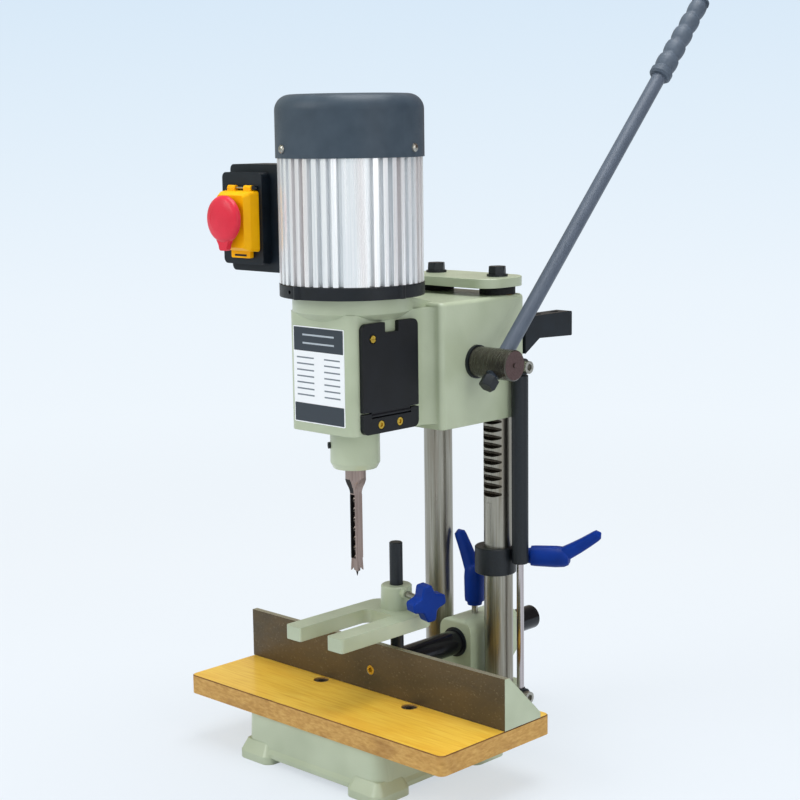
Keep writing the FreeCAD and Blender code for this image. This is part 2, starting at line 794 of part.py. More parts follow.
def make_gear():
    points = [Vector(0, r * math.sin(a), r * math.cos(a)) for r, a in gear_profile()]
    x0 = column_x - gear_width / 2
    disc = Part.Face(Part.makePolygon(points + points[:1])).extrude(Vector(gear_width, 0, 0))
    disc.translate(Vector(x0, feed_y, feed_z))
    cuts = [rod(feed_shaft_radius, at(x0 - 1, feed_y, feed_z), at(x0 + gear_width + 1, feed_y, feed_z))]
    for side in (x0 - 1, x0 + gear_width - 4):
        cuts.append(tube(gear_root_radius - 6, feed_shaft_radius + 8, at(side, feed_y, feed_z),
                         at(side + 5, feed_y, feed_z)))
    return less(disc, *cuts)


def lever_line(distance):
    a = math.radians(lever_angle)
    return (lever_x, feed_y + distance * math.cos(a), feed_z + distance * math.sin(a))


def make_feed_shaft():
    hub_start = head_half_width + feed_bush_flange_thickness + seat_gap
    shaft = rod(feed_shaft_radius, at(-head_half_width + 2, feed_y, feed_z), at(hub_start, feed_y, feed_z))
    hub = rod(hub_radius, at(hub_start, feed_y, feed_z), at(hub_end, feed_y, feed_z))
    ends = [e for e in hub.Edges if e.BoundBox.XMin > hub_end - 0.01]
    hub = hub.makeChamfer(1.0, ends)
    pin = rod(2.2, at(hub_end - 5, feed_y, feed_z), at(hub_end + 1.2, feed_y, feed_z))
    return less(fused(shaft, hub, pin), rod(lever_radius, lever_line(-30), lever_line(30)))


def make_lever_rod():
    bar = rod(lever_radius, lever_line(-lever_tail + 3), lever_line(lever_reach - 8))
    low = Vector(*lever_line(-lever_tail + 3))
    ends = [e for e in bar.Edges if e.BoundBox.Center.distanceToPoint(low) < 1.0 and len(e.Vertexes) == 1]
    return bar.makeChamfer(1.0, ends[:1])


def lever_direction():
    a = math.radians(lever_angle)
    return (0, math.cos(a), math.sin(a))


def make_lever_nut():
    nut = hexagon(lever_nut_flat, lever_line(-lever_tail), lever_direction(), lever_nut_height)
    low = Vector(*lever_line(-lever_tail))
    along = Vector(*lever_direction())
    nut = nut.common(cone(lever_nut_flat * 0.5, lever_nut_flat * 0.62, tuple(low), tuple(low + along * 3)).fuse(
        rod(lever_nut_flat * 0.62, tuple(low + along * 3), tuple(low + along * 12))))
    return less(nut, rod(lever_radius, lever_line(-lever_tail - 1), lever_line(-lever_tail + 20)))


def make_grip():
    """A moulded grip: a collar, five swells that shrink towards the end, and a rounded cap."""
    length = grip_length
    start = lever_reach - length
    profile = [(lever_radius, 0), (9.2, 0), (11.0, 2.0), (11.2, 7.0), (9.4, 10.0)]
    swells = 5
    swell_length = (length - 10.0 - 4.0) / swells
    for k in range(swells):
        top = 10.8 - 0.42 * k
        dip = 9.0 - 0.35 * k
        z = 10.0 + swell_length * k
        for share, radius in ((0.18, dip + 0.65 * (top - dip)), (0.35, top - 0.15), (0.55, top),
                              (0.75, dip + 0.75 * (top - dip)), (0.92, dip - 0.2), (1.0, dip - 0.2)):
            profile.append((radius, z + share * swell_length))
    profile += [(9.0, length - 4.0), (8.6, length - 1.6), (6.0, length), (0, length)]
    profile += [(0, length - 8.0), (lever_radius, length - 8.0)]
    return spun(profile, lever_line(start), lever_direction())


# Motor
def ribbed_wire(z):
    """The outline of the motor body: four smooth pads with ribs between them."""
    gap_sweep = 90.0 - pad_angle
    cell = gap_sweep / (ribs_per_side + 0.5)
    spans = []
    for side in range(4):
        middle = pad_direction + 90 * side
        spans.append((middle - pad_angle / 2, middle + pad_angle / 2))
        for k in range(ribs_per_side):
            start = middle + pad_angle / 2 + cell * (k + 0.5)
            spans.append((start, start + cell / 2))
    edges = []
    root = motor_radius - rib_depth
    for i, (a0, a1) in enumerate(spans):
        b0 = spans[(i + 1) % len(spans)][0] + (360 if i == len(spans) - 1 else 0)
        corners = [Vector(*polar(motor_radius, a0, 0, spindle_y), z),
                   Vector(*polar(motor_radius, (a0 + a1) / 2, 0, spindle_y), z),
                   Vector(*polar(motor_radius, a1, 0, spindle_y), z),
                   Vector(*polar(root, a1 + cell * 0.08, 0, spindle_y), z),
                   Vector(*polar(root, b0 - cell * 0.08, 0, spindle_y), z),
                   Vector(*polar(motor_radius, b0, 0, spindle_y), z)]
        edges.append(Part.Arc(corners[0], corners[1], corners[2]).toShape())
        for p, q in ((2, 3), (3, 4), (4, 5)):
            edges.append(Part.LineSegment(corners[p], corners[q]).toShape())
    return Part.Wire(edges)


def make_motor_body():
    outer = Part.Face(ribbed_wire(flange_top)).extrude(Vector(0, 0, body_top - flange_top))
    return less(outer, rod(body_bore, at(0, spindle_y, flange_top - 1), at(0, spindle_y, body_top + 1)))


def make_motor_flange():
    rim = rod(flange_radius, at(0, spindle_y, collar_top), at(0, spindle_y, flange_top))
    edges = [e for e in rim.Edges if e.BoundBox.ZMin > flange_top - 0.01 and e.BoundBox.ZLength < 0.01]
    rim = rim.makeChamfer(0.8, edges)
    spigot = rod(body_bore - running_fit, at(0, spindle_y, flange_top - 1), at(0, spindle_y, flange_top + 4))
    ears = []
    for k in range(4):
        x, y = polar(flange_radius - 1.5, 90 * k - 2.5, 0, spindle_y)
        ears.append(rod(4.0, at(x, y, collar_top), at(x, y, flange_top)))
    body = fused(rim, spigot, *ears)
    x, y = polar(flange_radius - 5, -102, 0, spindle_y)
    x1, y1 = polar(flange_radius + 2, -102, 0, spindle_y)
    z = (collar_top + flange_top) / 2
    return less(body, rod(shaft_radius + 3, at(0, spindle_y, collar_top - 1), at(0, spindle_y, flange_top + 9)),
                rod(bearing_radius, at(0, spindle_y, collar_top + 4), at(0, spindle_y, flange_top + 9)),
                rod(1.8, at(x, y, z), at(x1, y1, z)))


def make_end_shield():
    top = body_top - 1.0
    disc = rod(body_bore - running_fit, at(0, spindle_y, top - 7), at(0, spindle_y, top))
    hub = rod(bearing_radius + 5, at(0, spindle_y, top - 14), at(0, spindle_y, top + 2))
    lugs = []
    for angle in cowl_screw_angles:
        lug = block(40, cowl_radius - cowl_wall - seat_gap, -6, 6, body_top, cowl_screw_z + 5)
        foot = block(38, 50, -6, 6, top - 4, body_top + 1)
        lug = turned(fused(lug, foot), angle, (0, 0, 0), (0, 0, 1))
        lug.translate(Vector(0, spindle_y, 0))
        lugs.append(lug)
    body = fused(disc, hub, *lugs)
    cuts = [rod(shaft_radius + 3, at(0, spindle_y, top - 20), at(0, spindle_y, top + 9)),
            rod(bearing_radius, at(0, spindle_y, top - 15), at(0, spindle_y, top - 15 + bearing_width + 1))]
    for angle in cowl_screw_angles:
        x, y = polar(54, angle, 0, spindle_y)
        x1, y1 = polar(80, angle, 0, spindle_y)
        cuts.append(rod(1.7, at(x, y, cowl_screw_z), at(x1, y1, cowl_screw_z)))
    return less(body, *cuts)


def make_bearings():
    lower = collar_top + 4
    upper = body_top - 16
    rings = []
    for z in (lower, upper):
        rings.append(tube(bearing_radius, shaft_radius + running_fit, at(0, spindle_y, z),
                          at(0, spindle_y, z + bearing_width)))
    return rings


def make_stator():
    core = tube(body_bore - running_fit, core_radius + air_gap, at(0, spindle_y, core_bottom),
                at(0, spindle_y, core_top))
    coils = []
    for z0, z1 in ((core_bottom - 12, core_bottom), (core_top, core_top + 12)):
        coils.append(tube(core_radius + 14, core_radius + 3, at(0, spindle_y, z0), at(0, spindle_y, z1)))
    return fused(core, *coils)


def make_rotor_shaft():
    r = shaft_radius
    shoulder = chuck_top + seat_gap
    taper_end = chuck_top - 20
    profile = [(0, taper_end), (r - 2.5 - running_fit, taper_end), (r - 1 - running_fit, chuck_top),
               (r - 1 - running_fit, shoulder), (r, shoulder),
               (r, body_top + 20), (r - 2, body_top + 24), (0, body_top + 24)]
    return spun(profile, (0, spindle_y, 0), (0, 0, 1))


def make_rotor_core():
    core = tube(core_radius, shaft_radius, at(0, spindle_y, core_bottom), at(0, spindle_y, core_top))
    rings = []
    for z0, z1 in ((core_bottom - 6, core_bottom), (core_top, core_top + 6)):
        rings.append(tube(core_radius - 3, shaft_radius + 6, at(0, spindle_y, z0), at(0, spindle_y, z1)))
    return fused(core, *rings)


def make_fan():
    z = cowl_screw_z + 8
    hub = tube(shaft_radius + 5, shaft_radius, at(0, spindle_y, z - 4), at(0, spindle_y, z + 10))
    plate = tube(50, shaft_radius + 4, at(0, spindle_y, z - 2), at(0, spindle_y, z))
    blades = []
    for k in range(8):
        blade = block(shaft_radius + 4, 50, -1, 1, z - 1, z + 14)
        blade = turned(blade, 45 * k, (0, 0, 0), (0, 0, 1))
        blade.translate(Vector(0, spindle_y, 0))
        blades.append(blade)
    return fused(hub, plate, *blades)


def dome(radius, z0, z1, rounding):
    """A closed cap: a cylinder with a quarter-round top edge."""
    middle = rounding * (1 - math.sqrt(0.5))
    a = Vector(radius, 0, z1 - rounding)
    b = Vector(radius - middle, 0, z1 - middle)
    c = Vector(radius - rounding, 0, z1)
    edges = [Part.LineSegment(Vector(0, 0, z0), Vector(radius, 0, z0)).toShape(),
             Part.LineSegment(Vector(radius, 0, z0), a).toShape(),
             Part.Arc(a, b, c).toShape(),
             Part.LineSegment(c, Vector(0, 0, z1)).toShape(),
             Part.LineSegment(Vector(0, 0, z1), Vector(0, 0, z0)).toShape()]
    solid = Part.Face(Part.Wire(edges)).revolve(Vector(0, 0, 0), Vector(0, 0, 1), 360)
    solid.translate(Vector(0, spindle_y, 0))
    return solid


def make_cowl():
    outer = dome(cowl_radius, cowl_bottom, cowl_top, cowl_round)
    inner = dome(cowl_radius - cowl_wall, cowl_bottom - 1, cowl_top - cowl_wall, cowl_round - cowl_wall)
    cuts = [inner]
    slots = 12
    for k in range(slots):
        slot = slab(rectangle(14, 42, -2.2, 2.2, 2.1), cowl_top - 6, cowl_top + 1)
        slot = turned(slot, 360.0 / slots * k, (0, 0, 0), (0, 0, 1))
        slot.translate(Vector(0, spindle_y, 0))
        cuts.append(slot)
    for angle in cowl_screw_angles:
        x, y = polar(56, angle, 0, spindle_y)
        x1, y1 = polar(80, angle, 0, spindle_y)
        cuts.append(rod(2.2, at(x, y, cowl_screw_z), at(x1, y1, cowl_screw_z)))
    return less(outer, *cuts)


def make_cowl_screws():
    screws = []
    for angle in cowl_screw_angles:
        dx, dy = polar(1.0, angle)
        head = spun([(0, 0), (3.9, 0), (3.7, 1.3), (2.4, 2.5), (0, 2.8)],
                    (dx * cowl_radius, spindle_y + dy * cowl_radius, cowl_screw_z), (dx, dy, 0))
        shank = rod(1.7, at(dx * 56, spindle_y + dy * 56, cowl_screw_z),
                    at(dx * (cowl_radius + 1), spindle_y + dy * (cowl_radius + 1), cowl_screw_z))
        screws.append(fused(head, shank))
    return screws


# Chuck, auger bit and hollow chisel
def make_chuck():
    r = chuck_radius
    profile = [(4.2, chuck_bottom), (12, chuck_bottom), (16, chuck_bottom + 12), (r, chuck_bottom + 14),
               (r, chuck_bottom + 34), (r - 2, chuck_bottom + 36), (r - 2, chuck_top - 2),
               (r - 4, chuck_top), (shaft_radius - 1, chuck_top), (shaft_radius - 2.5, chuck_top - 20),
               (4.2, chuck_top - 24)]
    body = spun(profile, (0, spindle_y, 0), (0, 0, 1))
    teeth = 16
    cuts = []
    for k in range(teeth):
        notch = turned(block(r - 4, r + 2, -1.4, 1.4, chuck_bottom + 13, chuck_bottom + 18),
                       360.0 / teeth * k, (0, 0, 0), (0, 0, 1))
        notch.translate(Vector(0, spindle_y, 0))
        cuts.append(notch)
    return less(body, *cuts)


def make_jaws():
    jaws = []
    for k in range(3):
        jaw = slab([(-1.8, chuck_bottom - 10, 0), (1.8, chuck_bottom - 10, 0), (1.8, chuck_bottom + 14, 0),
                    (-1.8, chuck_bottom + 14, 0)], 0, 4.0, "XZ")
        shell = tube(4.15, auger_radius + 0.02, at(0, 0, chuck_bottom - 10), at(0, 0, chuck_bottom + 14))
        jaw = turned(jaw.common(shell), 120 * k, (0, 0, 0), (0, 0, 1))
        jaw.translate(Vector(0, spindle_y, 0))
        jaws.append(jaw)
    return jaws


def make_auger():
    """The bit: a plain shank, and below it a flat ribbon twisted about the axis, and a point."""
    twist_top = chisel_square_top + 6
    twist_bottom = auger_tip + 5
    steps = int(round((twist_top - twist_bottom) / auger_lead * 10))
    ribbon = ((1.0, -15.0), (1.0, 15.0), (0.45, 90.0), (1.0, 165.0), (1.0, 195.0), (0.45, 270.0))
    rings = []
    for k in range(steps + 1):
        share = k / steps
        z = twist_bottom + (twist_top - twist_bottom) * share
        turn = 360.0 * (z - twist_bottom) / auger_lead
        rings.append([Vector(*polar(auger_radius * r, a + turn, 0, spindle_y), z) for r, a in ribbon])
    faces = [Part.Face(Part.makePolygon(ring + ring[:1])) for ring in (rings[0], rings[-1])]
    for low, high in zip(rings, rings[1:]):
        for i in range(len(ribbon)):
            j = (i + 1) % len(ribbon)
            faces.append(Part.Face(Part.makePolygon([low[i], low[j], high[j], low[i]])))
            faces.append(Part.Face(Part.makePolygon([low[i], high[j], high[i], low[i]])))
    twisted = Part.Solid(Part.makeShell(faces))
    if twisted.Volume < 0:
        twisted.reverse()
    shank = rod(auger_radius, at(0, spindle_y, twist_top), at(0, spindle_y, chuck_bottom + 14))
    point = cone(0.2, auger_radius * 0.45, at(0, spindle_y, auger_tip), at(0, spindle_y, twist_bottom))
    return fused(twisted, shank, point)


def make_chisel():
    half = chisel_size / 2.0
    square = block(-half, half, spindle_y - half, spindle_y + half, chisel_bottom, chisel_square_top + 4)
    throat = cone(half * 1.25, shank_radius, at(0, spindle_y, chisel_square_top), at(0, spindle_y, shank_bottom))
    shank = rod(shank_radius, at(0, spindle_y, shank_bottom), at(0, spindle_y, shank_top))
    flare = tapered(rectangle(-half - 0.5, half + 0.5, spindle_y - half - 0.5, spindle_y + half + 0.5, 0),
                    chisel_bottom, rectangle(-half, half, spindle_y - half, spindle_y + half, 0),
                    chisel_bottom + 12)
    body = fused(square, throat, shank, flare)
    bore = rod(auger_radius + 0.3, at(0, spindle_y, chisel_bottom - 1), at(0, spindle_y, shank_top + 1))
    bevel = cone(half * 1.25, auger_radius, at(0, spindle_y, chisel_bottom - 0.5), at(0, spindle_y, chisel_bottom + 4))
    window = slab(rectangle(-half + 1.0, half + 1.0, chisel_bottom + 14, chisel_square_top - 6, 1.2),
                  spindle_y - half - 1, spindle_y, "XZ")
    notches = []
    for turn in (0, 90):
        vee = slab([(-2.2, chisel_bottom - 1, 0), (2.2, chisel_bottom - 1, 0), (0, chisel_bottom + 3.2, 0)],
                   -half * 2, half * 2, "XZ")
        vee = turned(vee, turn, (0, 0, 0), (0, 0, 1))
        vee.translate(Vector(0, spindle_y, 0))
        notches.append(vee)
    dx, dy = polar(1.0, lock_screw_angle)
    flat = block(shank_radius - 1.2, shank_radius + 3, -4, 4, lock_screw_z - 9, lock_screw_z + 9)
    flat = turned(flat, lock_screw_angle, (0, 0, 0), (0, 0, 1))
    flat.translate(Vector(0, spindle_y, 0))
    return less(body, bore, bevel, window, flat, *notches)


def make_lock_screw():
    dx, dy = polar(1.0, lock_screw_angle)
    start = shank_radius - 1.2 + seat_gap
    end = nose_radius + 2.2
    screw = rod(lock_screw_radius, at(dx * start, spindle_y + dy * start, lock_screw_z),
                at(dx * end, spindle_y + dy * end, lock_screw_z))
    key = hexagon(3.0, (dx * (end + 0.1), spindle_y + dy * (end + 0.1), lock_screw_z), (-dx, -dy, 0), 3.5)
    return less(screw, key)


# Chuck cover, hinged at its lower edge on a screwed strip
def make_cover_strip():
    ear_top = hinge_z + 2.0
    plate = slab([(cover_front, cover_bottom, cover_corner), (cover_rear, cover_bottom, cover_corner),
                  (cover_rear, ear_top, 1.0), (hinge_end + 0.4, ear_top, 1.0),
                  (hinge_end + 0.4, hinge_z - 2.5, 0), (hinge_front - 0.4, hinge_z - 2.5, 0),
                  (hinge_front - 0.4, ear_top, 1.0), (cover_front, ear_top, 1.0)],
                 housing_half_width, cover_outer, "YZ")
    cuts = [rod(hinge_pin_radius, at(hinge_x, cover_front + 2, hinge_z), at(hinge_x, cover_rear - 2, hinge_z))]
    for y, z in strip_screw_places:
        cuts.append(rod(2.2, at(housing_half_width - 1, y, z), at(cover_outer + 1, y, z)))
        cuts.append(rod(4.2, at(cover_outer - 2.2, y, z), at(cover_outer + 1, y, z)))
    return less(plate, *cuts)


def make_hinge_pin():
    return rod(hinge_pin_radius, at(hinge_x, cover_front + 2, hinge_z), at(hinge_x, cover_rear - 2, hinge_z))


def make_strip_screws():
    screws = []
    for y, z in strip_screw_places:
        seat = cover_outer - 2.2
        screws.append(socket_screw(2.0, 3.6, 2.0, 8.0, (seat, y, z), (-1, 0, 0)))
    return screws


def make_cover():
    low = hinge_z + cover_swing
    middle = (notch_front + notch_rear) / 2
    half = (notch_rear - notch_front) / 2
    plate = slab([(cover_front, low, 1.0), (cover_rear, low, 1.0), (cover_rear, cover_top, cover_corner),
                  (middle + half, cover_top, 1.0), (middle + half, cover_top - notch_depth, 2.0),
                  (middle - half, cover_top - notch_depth, 2.0), (middle - half, cover_top, 1.0),
                  (cover_front, cover_top, cover_corner)], cover_inner, cover_outer, "YZ")
    barrel = rod(cover_thickness / 2, at(hinge_x, hinge_front, hinge_z), at(hinge_x, hinge_end, hinge_z))
    web = block(hinge_x - 1.4, hinge_x + 1.4, hinge_front, hinge_end, hinge_z, low + 1)
    body = fused(plate, barrel, web)
    return less(body, rod(hinge_pin_radius + running_fit, at(hinge_x, hinge_front - 1, hinge_z),
                          at(hinge_x, hinge_end + 1, hinge_z)),
                rod(latch_radius + 1.0, at(cover_outer - 1.6, latch_y, latch_z), at(cover_outer + 1, latch_y, latch_z)),
                rod(2.0 + running_fit, at(cover_inner - 1, latch_y, latch_z), at(cover_outer, latch_y, latch_z)))


def make_latch():
    seat = cover_outer - 1.6
    head = rod(latch_radius, at(seat, latch_y, latch_z), at(seat + 2.0, latch_y, latch_z))
    shank = rod(2.0, at(cover_inner - 4, latch_y, latch_z), at(seat, latch_y, latch_z))
    slot = block(seat + 1.1, seat + 3, latch_y - latch_radius, latch_y + latch_radius, latch_z - 0.5, latch_z + 0.5)
    return less(fused(head, shank), slot)


# Gas strut beside the right column
def make_strut_rod():
    low = at(strut_x, strut_y, strut_pin_bottom + 8)
    piston_z = strut_bottom + 10
    body = rod(strut_rod_radius, low, at(strut_x, strut_y, piston_z + 8))
    piston = rod(strut_radius - strut_wall - running_fit, at(strut_x, strut_y, piston_z),
                 at(strut_x, strut_y, piston_z + 7))
    return fused(body, piston)


def make_strut_tube():
    outer = rod(strut_radius, at(strut_x, strut_y, strut_bottom), at(strut_x, strut_y, strut_top))
    cuts = [rod(strut_radius - strut_wall, at(strut_x, strut_y, strut_bottom + 5),
                at(strut_x, strut_y, strut_top - 5)),
            rod(strut_rod_radius + running_fit, at(strut_x, strut_y, strut_bottom - 1),
                at(strut_x, strut_y, strut_bottom + 6))]
    ends = [e for e in outer.Edges if e.BoundBox.ZLength < 0.01]
    return less(outer.makeChamfer(0.8, ends), *cuts)


def strut_eye(z, towards):
    """An eye end: a flat ring across X with a neck that meets the strut."""
    half = 5.5
    ring = rod(8.0, at(strut_x - half, strut_y, z), at(strut_x + half, strut_y, z))
    neck = rod(4.6, at(strut_x, strut_y, z), at(strut_x, strut_y, towards))
    return less(fused(ring, neck), rod(strut_pin_radius + running_fit, at(strut_x - 9, strut_y, z),
                                       at(strut_x + 9, strut_y, z)))


def make_strut_screw(z, inner):
    seat = strut_x + 5.5 + seat_gap
    return socket_screw(strut_pin_radius, 6.0, 6.0, seat - inner, (seat, strut_y, z), (-1, 0, 0))


# Depth stop collar and the two clamp levers
def make_stop():
    x = column_x + stop_shift_x
    y = column_y + stop_shift_y
    top = stop_bottom + stop_height
    ring = rod(stop_radius, at(x, y, stop_bottom), at(x, y, top))
    edges = [e for e in ring.Edges if e.BoundBox.ZLength < 0.01]
    ring = ring.makeChamfer(0.8, edges)
    ux, uy = polar(1.0, stop_lever_angle)
    lug = rod(6.0, at(column_x, column_y, stop_lever_z), at(column_x + ux * 19.5, column_y + uy * 19.5, stop_lever_z))
    ring = fused(ring, lug)
    slit = turned(block(column_radius - 2, stop_radius + 9, -0.8, 0.8, stop_bottom - 1, stop_bottom + stop_height / 3),
                  -60, (0, 0, 0), (0, 0, 1))
    slit.translate(Vector(column_x, column_y, 0))
    return less(ring, rod(column_bore, at(column_x, column_y, stop_bottom - 1), at(column_x, column_y, top + 1)),
                rod(clamp_stud_radius + running_fit, at(column_x, column_y, stop_lever_z),
                    at(column_x + ux * 40, column_y + uy * 40, stop_lever_z)))


def clamp_handle(stud_start, hub_start, reach, rise):
    """A clamp lever along +Z: stud, hub with a stepped collar, and an arm that leans to +X."""
    r = clamp_hub_radius
    length = clamp_hub_length
    top = hub_start + length
    hub = spun([(0, hub_start - 4), (r * 0.72, hub_start - 4), (r * 0.78, hub_start), (r * 0.96, hub_start),
                (r, hub_start + 4), (r * 1.04, top - 12), (r * 0.95, top - 4), (r * 0.6, top + 1.5), (0, top + 2)],
               (0, 0, 0), (0, 0, 1))
    stud = rod(clamp_stud_radius, at(0, 0, stud_start), at(0, 0, hub_start))
    sections = []
    count = 5
    for k in range(count):
        t = k / (count - 1.0)
        x = 1.0 + (reach - 1.0) * (0.75 * t + 0.25 * t * t)
        z = top - 9.0 + rise * t
        half_w = 7.2 - 3.4 * t
        half_t = 6.6 - 3.0 * t
        wire = rounded_wire(rectangle(-half_t, half_t, -half_w, half_w, min(half_t, half_w) * 0.8), 0)
        lean = 90.0 - math.degrees(math.atan2(rise, reach))
        wire.rotate(Vector(0, 0, 0), Vector(0, 1, 0), lean)
        wire.translate(Vector(x, 0, z))
        sections.append(wire)
    arm = Part.makeLoft(sections, True, False)
    tip_x = reach
    tip = Part.makeSphere(3.9, Vector(tip_x, 0, top - 9.0 + rise))
    return fused(hub, stud, arm, tip)


def make_stop_lever():
    handle = clamp_handle(column_radius + seat_gap, stop_hub_start, 25.0, 40.0)
    handle.rotate(Vector(0, 0, 0), Vector(0, 0, 1), 180)
    handle.rotate(Vector(0, 0, 0), Vector(0, 1, 0), 90)
    handle.rotate(Vector(0, 0, 0), Vector(0, 0, 1), stop_lever_angle)
    handle.translate(Vector(column_x, column_y, stop_lever_z))
    return handle


def make_fence_lever():
    stud_start = bar_height + bar_radius + seat_gap
    handle = clamp_handle(stud_start - fence_lever_z, 0.0, 21.0, 42.0)
    handle.rotate(Vector(0, 0, 0), Vector(0, 0, 1), 180)
    handle.translate(Vector(0, fence_lever_y, fence_lever_z))
    return handle


# Tool holder on the back of the head
def make_holder():
    arm = slab([(head_rear, holder_bottom - 12, 0), (head_rear + 21, holder_bottom + 1, 3),
                (holder_rear, holder_bottom - 1, 1.5), (holder_rear, holder_top, 1.5), (head_rear, holder_top, 0)],
               holder_inner, head_half_width, "YZ")
    cuts = []
    for y in (head_rear + 28, holder_rear - 16):
        x = (holder_inner + head_half_width) / 2
        cuts.append(rod(holder_hole_radius, at(x, y, holder_bottom - 5), at(x, y, holder_top + 1)))
    for z in (holder_bottom + 6, holder_top - 6):
        cuts.append(rod(2.6, at(holder_bolt_x, head_rear - 1, z), at(holder_bolt_x, head_rear + 9, z)))
        cuts.append(rod(4.7, at(holder_bolt_x, head_rear + 7, z), at(holder_bolt_x, head_rear + 24, z)))
    return less(arm, *cuts)


def make_holder_bolts():
    return [socket_screw(2.5, 4.3, 5.0, 12.0, (holder_bolt_x, head_rear + 7, z), (0, -1, 0))
            for z in (holder_bottom + 6, holder_top - 6)]


# Switch: case on the motor, frame, hinged flap with a stop paddle, and the two buttons
def make_switch_box():
    case = slab(rectangle(switch_left, -40, switch_bottom, switch_top, 5), switch_front, switch_back, "XZ")
    motor = rod(motor_radius + seat_gap, at(0, spindle_y, switch_bottom - 1), at(0, spindle_y, switch_top + 1))
    pocket = block(switch_left + 8, frame_right - 8, switch_front - 1, switch_front + 18, frame_bottom + 14,
                   frame_top - 14)
    return less(case, motor, pocket)


def make_switch_frame():
    frame = slab(rectangle(switch_left, frame_right, frame_bottom, frame_top, 5), frame_front, switch_front, "XZ")
    windows = []
    for z in (stem_z, start_z):
        windows.append(slab(rectangle(switch_x - button_width / 2 - seat_gap, switch_x + button_width / 2 + seat_gap,
                                      z - button_height / 2 - seat_gap, z + button_height / 2 + seat_gap, 2),
                            frame_front - 1, switch_front + 1, "XZ"))
    ears = []
    for sx in (-1, 1):
        x = switch_x + sx * flap_ear_x
        ears.append(block(x - 2, x + 2, flap_hinge_y - 1.5, frame_front + 1, flap_hinge_z - 1.4, flap_hinge_z + 2))
    body = fused(frame, *ears)
    return less(body, make_flap_pin(), *windows)


def make_flap_pin():
    return rod(flap_pin_radius, at(switch_x - flap_ear_x - 2, flap_hinge_y, flap_hinge_z),
               at(switch_x + flap_ear_x + 2, flap_hinge_y, flap_hinge_z))


def make_button(z):
    x0 = switch_x - button_width / 2
    x1 = switch_x + button_width / 2
    cap = slab(rectangle(x0, x1, z - button_height / 2, z + button_height / 2, 2), frame_front - 2,
               switch_front + 1, "XZ")
    stem = block(switch_x - 4, switch_x + 4, switch_front + 1, switch_front + 10, z - 4, z + 4)
    return fused(cap, stem)


def make_flap():
    y0 = flap_front
    y1 = frame_front - 0.6
    steps = [(y1, 0.0), (y0 + 6, 1.0), (y0, 4.0)]
    wires = []
    inner = []
    for y, inset in steps:
        wires.append(rounded_wire(rectangle(flap_left + inset, flap_right - inset, flap_bottom + inset,
                                            flap_top - inset, 3), y, "XZ"))
    for y, inset in [(y1 + 1, flap_wall), (y0 + 6, flap_wall + 1.0), (y0 + flap_wall, flap_wall + 3.4)]:
        inner.append(rounded_wire(rectangle(flap_left + inset, flap_right - inset, flap_bottom + inset,
                                            flap_top - inset, 1.5), y, "XZ"))
    shell = Part.makeLoft(wires, True, True).cut(Part.makeLoft(inner, True, True))
    knuckles = []
    for sx in (-1, 1):
        x = switch_x + sx * 11
        knuckles.append(rod(2.4, at(x - 5, flap_hinge_y, flap_hinge_z), at(x + 5, flap_hinge_y, flap_hinge_z)))
        knuckles.append(block(x - 5, x + 5, flap_hinge_y - 2.4, flap_hinge_y + 1.8, flap_top - 3, flap_hinge_z))
    tab = slab(rectangle(switch_x - 13, switch_x + 13, flap_bottom - 6, flap_bottom + 3, 1.5), y1 - 4, y1, "XZ")
    body = fused(shell, tab, *knuckles)
    return less(body, rod(flap_pin_radius + running_fit, at(switch_x - 18, flap_hinge_y, flap_hinge_z),
                          at(switch_x + 18, flap_hinge_y, flap_hinge_z)),
                rod(5.0 + running_fit, at(switch_x, y0 - 1, stem_z), at(switch_x, y0 + 6, stem_z)))


def make_mushroom():
    """A red stop paddle: a round pad with a tail below it, on a stem through the flap."""
    back = flap_front - button_travel - 0.6
    pad = spun([(0, 0), (mushroom_radius - 1.5, 0), (mushroom_radius, 2.0), (mushroom_radius, 4.5),
                (mushroom_radius - 2.5, 7.0), (0, 8.6)], (switch_x, back, mushroom_z), (0, -1, 0))
    tail_width = 7.0
    low = mushroom_z - mushroom_radius - 7
    tail = slab([(switch_x - mushroom_radius * 0.72, mushroom_z - mushroom_radius * 0.66, 0),
                 (switch_x - tail_width, low, 2), (switch_x + tail_width, low, 2),
                 (switch_x + mushroom_radius * 0.72, mushroom_z - mushroom_radius * 0.66, 0)],
                back - 5.5, back, "XZ")
    stem = rod(5.0, at(switch_x, back, stem_z), at(switch_x, frame_front - 2 - seat_gap, stem_z))
    return fused(pad, tail, stem)


save("base_casting", make_base())
save("wood_table", make_table())
save("table_screws", *make_table_screws())
save("left_column", make_column(-1))
save("rack_column", make_rack_column())
save("top_plate", make_top_plate())
save("plate_bolts", *make_plate_bolts())
save("buffer_rings", *make_buffers())
save("fence_bar_bush", make_bar_bush())
save("strut_rod", make_strut_rod())
save("strut_foot_eye", strut_eye(strut_pin_bottom, strut_pin_bottom + 8))
save("strut_foot_screw", make_strut_screw(strut_pin_bottom, column_x + column_radius + 1.0))
save("head_casting", make_head())
save("column_bushes", *make_column_bushes())
save("feed_bushes", *make_feed_bushes())
save("motor_flange", make_motor_flange())
save("motor_housing", make_motor_body())
save("motor_end_shield", make_end_shield())
save("motor_bearings", *make_bearings())
save("stator", make_stator())
save("fan_cowl", make_cowl())
save("cowl_screws", *make_cowl_screws())
save("switch_case", make_switch_box())
save("switch_frame", make_switch_frame())
save("flap_pin", make_flap_pin())
save("hollow_chisel", make_chisel())
save("cover_strip", make_cover_strip())
save("strip_screws", *make_strip_screws())
save("cover_pin", make_hinge_pin())
save("strut_tube", fused(make_strut_tube(), strut_eye(strut_pin_top, strut_top - 1)))
save("strut_head_screw", make_strut_screw(strut_pin_top, column_x + column_bush_radius + 0.5))
save("tool_holder", make_holder())
save("holder_bolts", *make_holder_bolts())
save("rotor_shaft", make_rotor_shaft())
